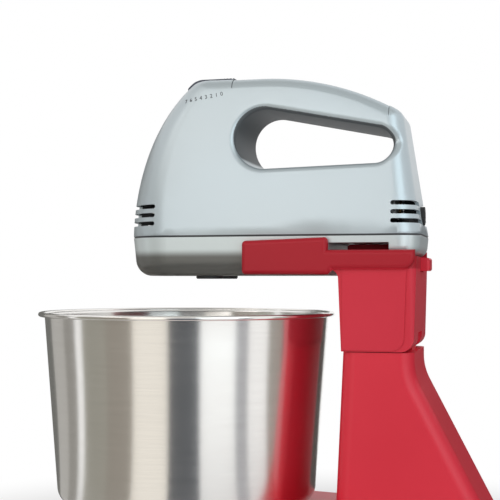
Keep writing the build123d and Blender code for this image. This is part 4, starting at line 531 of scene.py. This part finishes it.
# Where painted shade is laid inside and in the vents, the flakes and coat go and the roughness rises.
painted_shade_zone = add_maths(tree, "MAXIMUM", inside_shade, vent_shade)
satin = add_range(tree, grain, 0.30, 0.42)
rough = add_maths(tree, "ADD", satin, add_range(tree, painted_shade_zone, 0, SHADE_ROUGHER))
tree.links.new(rough, shader.inputs["Roughness"])
tree.links.new(add_range(tree, painted_shade_zone, METAL_FLAKES, 0), shader.inputs["Metallic"])
tree.links.new(add_range(tree, painted_shade_zone, LACQUER_GLOSS, 0), shader.inputs["Coat Weight"])
shader.inputs["Coat Roughness"].default_value = 0.2
add_bump(tree, shader, grain, depth=0.00004, strength=0.25)
paint(silver, "lower_housing", "handle_cover")

# Upper shell of the mixer: one lofted moulding with the grip opening, as it leaves the mould.
# The ends of its two screw ribs are pressed back flush with the side walls.
RIB_END_Y = 0.03875
RIB_END_Z = 0.2344
WALL_Y = 0.038197
NEAR = 0.0001
SHELL_MERGE = 0.000002
shell_mesh = bmesh.new()
shell_mesh.from_mesh(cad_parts["upper_housing"].data)
for vert in shell_mesh.verts:
    if abs(abs(vert.co.y) - RIB_END_Y) < NEAR and abs(vert.co.z - RIB_END_Z) < NEAR:
        vert.co.y = WALL_Y if vert.co.y > 0 else -WALL_Y
bmesh.ops.remove_doubles(shell_mesh, verts=shell_mesh.verts[:], dist=SHELL_MERGE)
upper_shell = make_piece("upper_shell", shell_mesh, silver, sharp=SHARP_TURN)
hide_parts("upper_housing")
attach(upper_shell, "mixer")

# Cord gland: a black rubber grommet in the rear wall, with a hole for the lead.
# Behind the wall it widens into a tapered collar, which keeps it from being pulled out.
COLLAR_SEAT = 0.0004
COLLAR_REACH = 0.0042
COLLAR_WIDE = 0.0064
COLLAR_TIP = 0.0052
COLLAR_EDGE = 0.0005
COLLAR_STEPS = 64
LEAD_HOLE = 0.0034
gland_low, gland_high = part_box("cord_gland")
gland_z = (gland_low.z + gland_high.z) / 2
seat_x = gland_low.x + COLLAR_SEAT
tip_x = gland_low.x - COLLAR_REACH
collar_line = [(seat_x, LEAD_HOLE), (seat_x, COLLAR_WIDE), (tip_x, COLLAR_TIP), (tip_x, LEAD_HOLE)]
collar_mesh = bmesh.new()
collar_mesh.faces.new([collar_mesh.verts.new((x, 0, gland_z + out)) for x, out in collar_line])
bmesh.ops.bevel(
    collar_mesh, geom=collar_mesh.verts[:], offset=COLLAR_EDGE, affect="VERTICES", segments=3,
    profile=0.5, material=-1,
)
bmesh.ops.delete(collar_mesh, geom=collar_mesh.faces[:], context="FACES_ONLY")
collar_geom = collar_mesh.verts[:] + collar_mesh.edges[:]
spin_round(collar_mesh, collar_geom, (0, 0, gland_z), (1, 0, 0), COLLAR_STEPS, MERGE)
bmesh.ops.recalc_face_normals(collar_mesh, faces=collar_mesh.faces[:])
gland_collar = make_piece("gland_collar", collar_mesh, rubber)
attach(gland_collar, "mixer")
paint(rubber, "cord_gland")

# Eject key and speed slider: navy-grey moulded caps on top of the housing. The collars round the two
# beater sockets underneath and the plastic pieces inside are mouldings as plain as the base plate.
NAVY = (0.055, 0.065, 0.095, 1)
NAVY_DEEP = (0.042, 0.050, 0.075, 1)
navy_moulding = moulding("navy_moulding", NAVY, NAVY_DEEP, rough=0.42, grain_scale=1800, depth=0.0001)
paint(navy_moulding, "eject_key", "speed_slider")
paint(dark_moulding, "socket_collars", "speed_switch", "gear_frame", "gear_cover", "eject_plate")
paint(dark_moulding, "brush_holders", "cooling_fan")

# Speed scale: the digits 0 to 7, pad printed in dark ink on the shoulder beside the slider.
# Each stands beside the place that the slider takes at that speed, and follows the curved skin.
DIGITS = "01234567"
DIGIT_HEIGHT = 0.0027
DIGIT_PITCH = 0.0035
FONT_SIZE = 1.4 * DIGIT_HEIGHT
LONG_EDGE = DIGIT_HEIGHT / 4
INK = 0.00005
INK_LIFT = 1.2 * INK
INK_TONE = (0.05, 0.052, 0.06, 1)
INK_TONE_DEEP = (0.03, 0.03, 0.035, 1)
SCALE_DROP = 0.0135
SCALE_FALL = 0.16
WELL_LEFT = -0.1
OFF_SKIN = 0.003
slider_low, slider_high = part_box("speed_slider")
slider_x = (slider_low.x + slider_high.x) / 2
shell = bmesh.new()
shell.from_mesh(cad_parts["upper_housing"].data)
shell_skin = BVHTree.FromBMesh(shell)
shell.free()
inward = Vector((0, 1, 0))
scale_mesh = bmesh.new()
for step, digit in enumerate(DIGITS):
    text = bpy.data.curves.new("digit", "FONT")
    text.body = digit
    text.size = FONT_SIZE
    text.align_x = "CENTER"
    text.align_y = "CENTER"
    text.extrude = INK
    text.resolution_u = 3
    glyph = bpy.data.objects.new("digit", text)
    scene.collection.objects.link(glyph)
    bpy.context.view_layer.update()
    flat = bpy.data.meshes.new_from_object(glyph)
    bpy.data.objects.remove(glyph)
    print_mesh = bmesh.new()
    print_mesh.from_mesh(flat)
    bmesh.ops.remove_doubles(print_mesh, verts=print_mesh.verts[:], dist=MERGE)
    bmesh.ops.triangulate(print_mesh, faces=print_mesh.faces[:])
    long_edges = [edge for edge in print_mesh.edges if edge.calc_length() > LONG_EDGE]
    bmesh.ops.subdivide_edges(print_mesh, edges=long_edges, cuts=2, use_grid_fill=True)
    bmesh.ops.triangulate(print_mesh, faces=print_mesh.faces[:])
    run = step * DIGIT_PITCH
    start = Vector((slider_x - run, WELL_LEFT, slider_high.z - SCALE_DROP - SCALE_FALL * run))
    hit, outward = shell_skin.ray_cast(start, inward)[:2]
    reading = Vector((1, 0, SCALE_FALL))
    reading = (reading - outward * reading.dot(outward)).normalized()
    upward = outward.cross(reading)
    for vert in print_mesh.verts:
        off_skin = hit + reading * vert.co.x + upward * vert.co.y + outward * OFF_SKIN
        foot = shell_skin.ray_cast(off_skin, -outward)[0]
        vert.co = foot + outward * (vert.co.z + INK_LIFT)
    print_mesh.to_mesh(flat)
    print_mesh.free()
    scale_mesh.from_mesh(flat)
    bpy.data.meshes.remove(flat)
    bpy.data.curves.remove(text)
bmesh.ops.recalc_face_normals(scale_mesh, faces=scale_mesh.faces[:])
ink = moulding("printed_ink", INK_TONE, INK_TONE_DEEP, rough=0.55, grain_scale=3000, depth=0.00002)
speed_digits = make_piece("speed_digits", scale_mesh, ink, smooth=False)
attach(speed_digits, "mixer")

# Drive wheels: two pale nylon mouldings, a little waxy, one on each beater spindle.
# The worm runs between them, so that they turn against each other.
NYLON = (0.76, 0.73, 0.63, 1)
NYLON_DEEP = (0.68, 0.64, 0.53, 1)
nylon = moulding("pale_nylon", NYLON, NYLON_DEEP, rough=0.46, grain_scale=1200, depth=0.00008)
paint(nylon, "left_gear", "right_gear")

# Motor laminations: thin punched sheets stacked along the shaft.
# Their edges show as fine bands, dark where the varnish sits between them.
SHEET_DARK = (0.11, 0.11, 0.12, 1)
SHEET_PALE = (0.32, 0.32, 0.33, 1)


def add_wave(tree, place, direction, scale, distortion):
    """Even bands across a direction, a little uneven by their distortion."""
    wave = tree.nodes.new("ShaderNodeTexWave")
    wave.bands_direction = direction
    wave.inputs["Scale"].default_value = scale
    wave.inputs["Distortion"].default_value = distortion
    tree.links.new(place, wave.inputs["Vector"])
    return wave.outputs["Fac"]


sheets, tree, shader, place = start_finish("stacked_sheets")
bands = add_wave(tree, place, "X", scale=320, distortion=0.4)
two_tone(tree, shader, bands, SHEET_DARK, SHEET_PALE, dark_rough=0.6, pale_rough=0.4)
shader.inputs["Metallic"].default_value = 0.9
paint(sheets, "motor_stator", "rotor_core")

# Windings and commutator: copper, the wire under amber enamel.
# Close turns show as fine ridges.
WIRE_DARK = (0.30, 0.10, 0.03, 1)
WIRE_PALE = (0.68, 0.28, 0.11, 1)
wire, tree, shader, place = start_finish("enamelled_wire")
ridges = add_wave(tree, place, "DIAGONAL", scale=450, distortion=1.5)
two_tone(tree, shader, ridges, WIRE_DARK, WIRE_PALE, dark_rough=0.42, pale_rough=0.26)
shader.inputs["Metallic"].default_value = 0.85
add_bump(tree, shader, ridges, depth=0.0001, strength=0.5)
paint(wire, "field_coils", "rotor_windings", "commutator")

# Brushes: pressed carbon, black with a graphite gleam.
# They slide in their holders and bear on the commutator.
CARBON = (0.03, 0.03, 0.031, 1)
CARBON_DEEP = (0.018, 0.018, 0.018, 1)
carbon = moulding("pressed_carbon", CARBON, CARBON_DEEP, rough=0.5, grain_scale=2500, depth=0.00008)
paint(carbon, "carbon_brushes")

# Floor: a plain pale sheet that fades to white away from the object.
# The world is a plain white room that lights everything softly.
FLOOR_TONE = (0.80, 0.80, 0.80, 1)
FLOOR_RADIUS = 6
FLOOR_SIDES = 96
FLOOR_LIFT = 0.45
FADE_NEAR = 0.20
FADE_FAR = 0.42
ROOM_LIGHT = 0.42


def background_rays(tree):
    """1 for the rays that see the background: the camera's own and those in gloss and glass."""
    rays = tree.nodes.new("ShaderNodeLightPath")
    seen = add_maths(tree, "MAXIMUM", rays.outputs["Is Camera Ray"], rays.outputs["Is Glossy Ray"])
    return add_maths(tree, "MAXIMUM", seen, rays.outputs["Is Transmission Ray"])


pale_floor, tree, shader, place = start_finish("pale_floor")
shader.inputs["Base Color"].default_value = FLOOR_TONE
shader.inputs["Roughness"].default_value = 0.9
glow = tree.nodes.new("ShaderNodeEmission")
far_off = add_step(tree, add_vector(tree, "LENGTH", place), FADE_NEAR, FADE_FAR)
white = add_maths(tree, "MULTIPLY", add_range(tree, far_off, FLOOR_LIFT, 1), background_rays(tree))
meet = tree.nodes.new("ShaderNodeMixShader")
tree.links.new(white, meet.inputs["Fac"])
tree.links.new(shader.outputs["BSDF"], meet.inputs[1])
tree.links.new(glow.outputs["Emission"], meet.inputs[2])
tree.links.new(meet.outputs["Shader"], tree.nodes["Material Output"].inputs["Surface"])
floor_mesh = bmesh.new()
bmesh.ops.create_circle(floor_mesh, cap_ends=True, segments=FLOOR_SIDES, radius=FLOOR_RADIUS)
floor = make_piece("floor", floor_mesh, pale_floor, smooth=False)

world = bpy.data.worlds.new("white_room")
scene.world = world
world.use_nodes = True
tree = world.node_tree
room = tree.nodes["Background"]
tree.links.new(add_range(tree, background_rays(tree), ROOM_LIGHT, 1), room.inputs["Strength"])
room.inputs["Color"].default_value = (1, 1, 1, 1)

# Studio flags: curved cards that stand on the floor round the bowl, and a flat one overhead, which all
# show only in reflections. They give brushed steel its upright bands and round edges their depth.
FLAG_NEAR = 0.16
FLAG_REACH = 0.72
FLAG_LIFT = 0.001
FLAG_STEPS = 16
FLAG_LOW = 0.30
FLAG_TALL = 0.56
OVERHEAD_SIZE = 1.1
OVERHEAD_FORWARD = 0.4
OVERHEAD_HEIGHT = 0.9


def hang_flag(name, mesh, tone):
    """Card of an even tone that shows only in gloss."""
    card = bpy.data.materials.new(name)
    card.use_nodes = True
    card.cycles.emission_sampling = "NONE"
    tree = card.node_tree
    tree.nodes.remove(tree.nodes["Principled BSDF"])
    glow = tree.nodes.new("ShaderNodeEmission")
    glow.inputs["Color"].default_value = tone
    tree.links.new(glow.outputs["Emission"], tree.nodes["Material Output"].inputs["Surface"])
    flag = make_piece(name, mesh, card, smooth=False)
    flag.visible_camera = False
    flag.visible_diffuse = False
    flag.visible_shadow = False
    flag.visible_transmission = False


def studio_flag(name, start, end, height, tone):
    """Card between two turns about the bowl, in degrees from -Y towards +X."""
    mesh = bmesh.new()
    bend = [(FLAG_NEAR, FLAG_LIFT), (FLAG_REACH, FLAG_LIFT), (FLAG_REACH, height)]
    points = [mesh.verts.new((bowl_x, -out, up)) for out, up in bend]
    rails = [mesh.edges.new(pair) for pair in zip(points, points[1:])]
    bmesh.ops.rotate(
        mesh, verts=points, cent=(bowl_x, 0, 0), matrix=Matrix.Rotation(radians(start), 3, "Z"),
    )
    bmesh.ops.spin(
        mesh, geom=points + rails, cent=(bowl_x, 0, 0), axis=(0, 0, 1),
        angle=radians(end - start), steps=FLAG_STEPS,
    )
    hang_flag(name, mesh, tone)


studio_flag("flag_far_left", -165, -116, FLAG_TALL, (0.16, 0.16, 0.15, 1))
studio_flag("flag_left_side", -116, -93, FLAG_TALL, (0.46, 0.45, 0.43, 1))
studio_flag("flag_left_rear", -93, -78, FLAG_TALL, (0.30, 0.29, 0.27, 1))
studio_flag("flag_left", -70, -46, FLAG_TALL, (0.32, 0.31, 0.27, 1))
studio_flag("flag_left_front", -46, -24, FLAG_TALL, (0.28, 0.255, 0.22, 1))
studio_flag("flag_front", -24, 3, FLAG_LOW, (0.88, 0.84, 0.77, 1))
studio_flag("flag_camera", 3, 26, FLAG_LOW, (0.10, 0.105, 0.115, 1))
studio_flag("flag_right_front", 53, 63, FLAG_LOW, (0.40, 0.40, 0.42, 1))
studio_flag("flag_right_side", 80, 94, FLAG_LOW, (0.36, 0.34, 0.31, 1))
studio_flag("flag_right", 94, 165, FLAG_LOW, (0.09, 0.08, 0.075, 1))
overhead = bmesh.new()
bmesh.ops.create_grid(
    overhead, x_segments=1, y_segments=1, size=OVERHEAD_SIZE / 2,
    matrix=Matrix.Translation((0, -OVERHEAD_FORWARD, OVERHEAD_HEIGHT)),
)
hang_flag("flag_overhead", overhead, (0.52, 0.50, 0.47, 1))

# Lamps: a large warm softbox high on the left, and a cooler one on the right.
# Both are soft enough that the shadows on the floor have no hard edge.
KEY_WARM = (1, 0.96, 0.91)
SIDE_COOL = (0.78, 0.94, 1)


def soft_lamp(name, where, aim, width, height, watts, tint):
    """Rectangular softbox aimed at a point."""
    data = bpy.data.lights.new(name, "AREA")
    data.shape = "RECTANGLE"
    data.size = width
    data.size_y = height
    data.energy = watts
    data.color = tint
    lamp = bpy.data.objects.new(name, data)
    lamp.location = where
    lamp.rotation_euler = (Vector(aim) - Vector(where)).to_track_quat("-Z", "Y").to_euler()
    lamp.visible_camera = False
    scene.collection.objects.link(lamp)


soft_lamp(
    "key_lamp", where=(-0.8, -1.5, 0.9), aim=(-0.02, 0, 0.2), width=1.8, height=1.8,
    watts=11, tint=KEY_WARM,
)
soft_lamp(
    "side_lamp", where=(1.1, -1.2, 0.8), aim=(0.02, 0, 0.2), width=1.2, height=1.6,
    watts=8.4, tint=SIDE_COOL,
)

# Camera: a long lens just above the bowl's rim, a little to the rear of the object's side.
# The field of view comes from the picture's width and its focal length, both in pixels.
PICTURE_WIDTH = 500
FOCAL_LENGTH = 1105
SENSOR_WIDTH = 36
CAMERA_PLACE = (0.1653, -0.7202, 0.1943)
CAMERA_TILT = radians(91.503)
CAMERA_TURN = radians(14)
camera_data = bpy.data.cameras.new("camera")
camera_data.sensor_width = SENSOR_WIDTH
camera_data.lens = SENSOR_WIDTH * FOCAL_LENGTH / PICTURE_WIDTH
camera = bpy.data.objects.new("camera", camera_data)
camera.location = CAMERA_PLACE
camera.rotation_euler = (CAMERA_TILT, 0, CAMERA_TURN)
scene.collection.objects.link(camera)
scene.camera = camera
scene.view_settings.view_transform = "Standard"
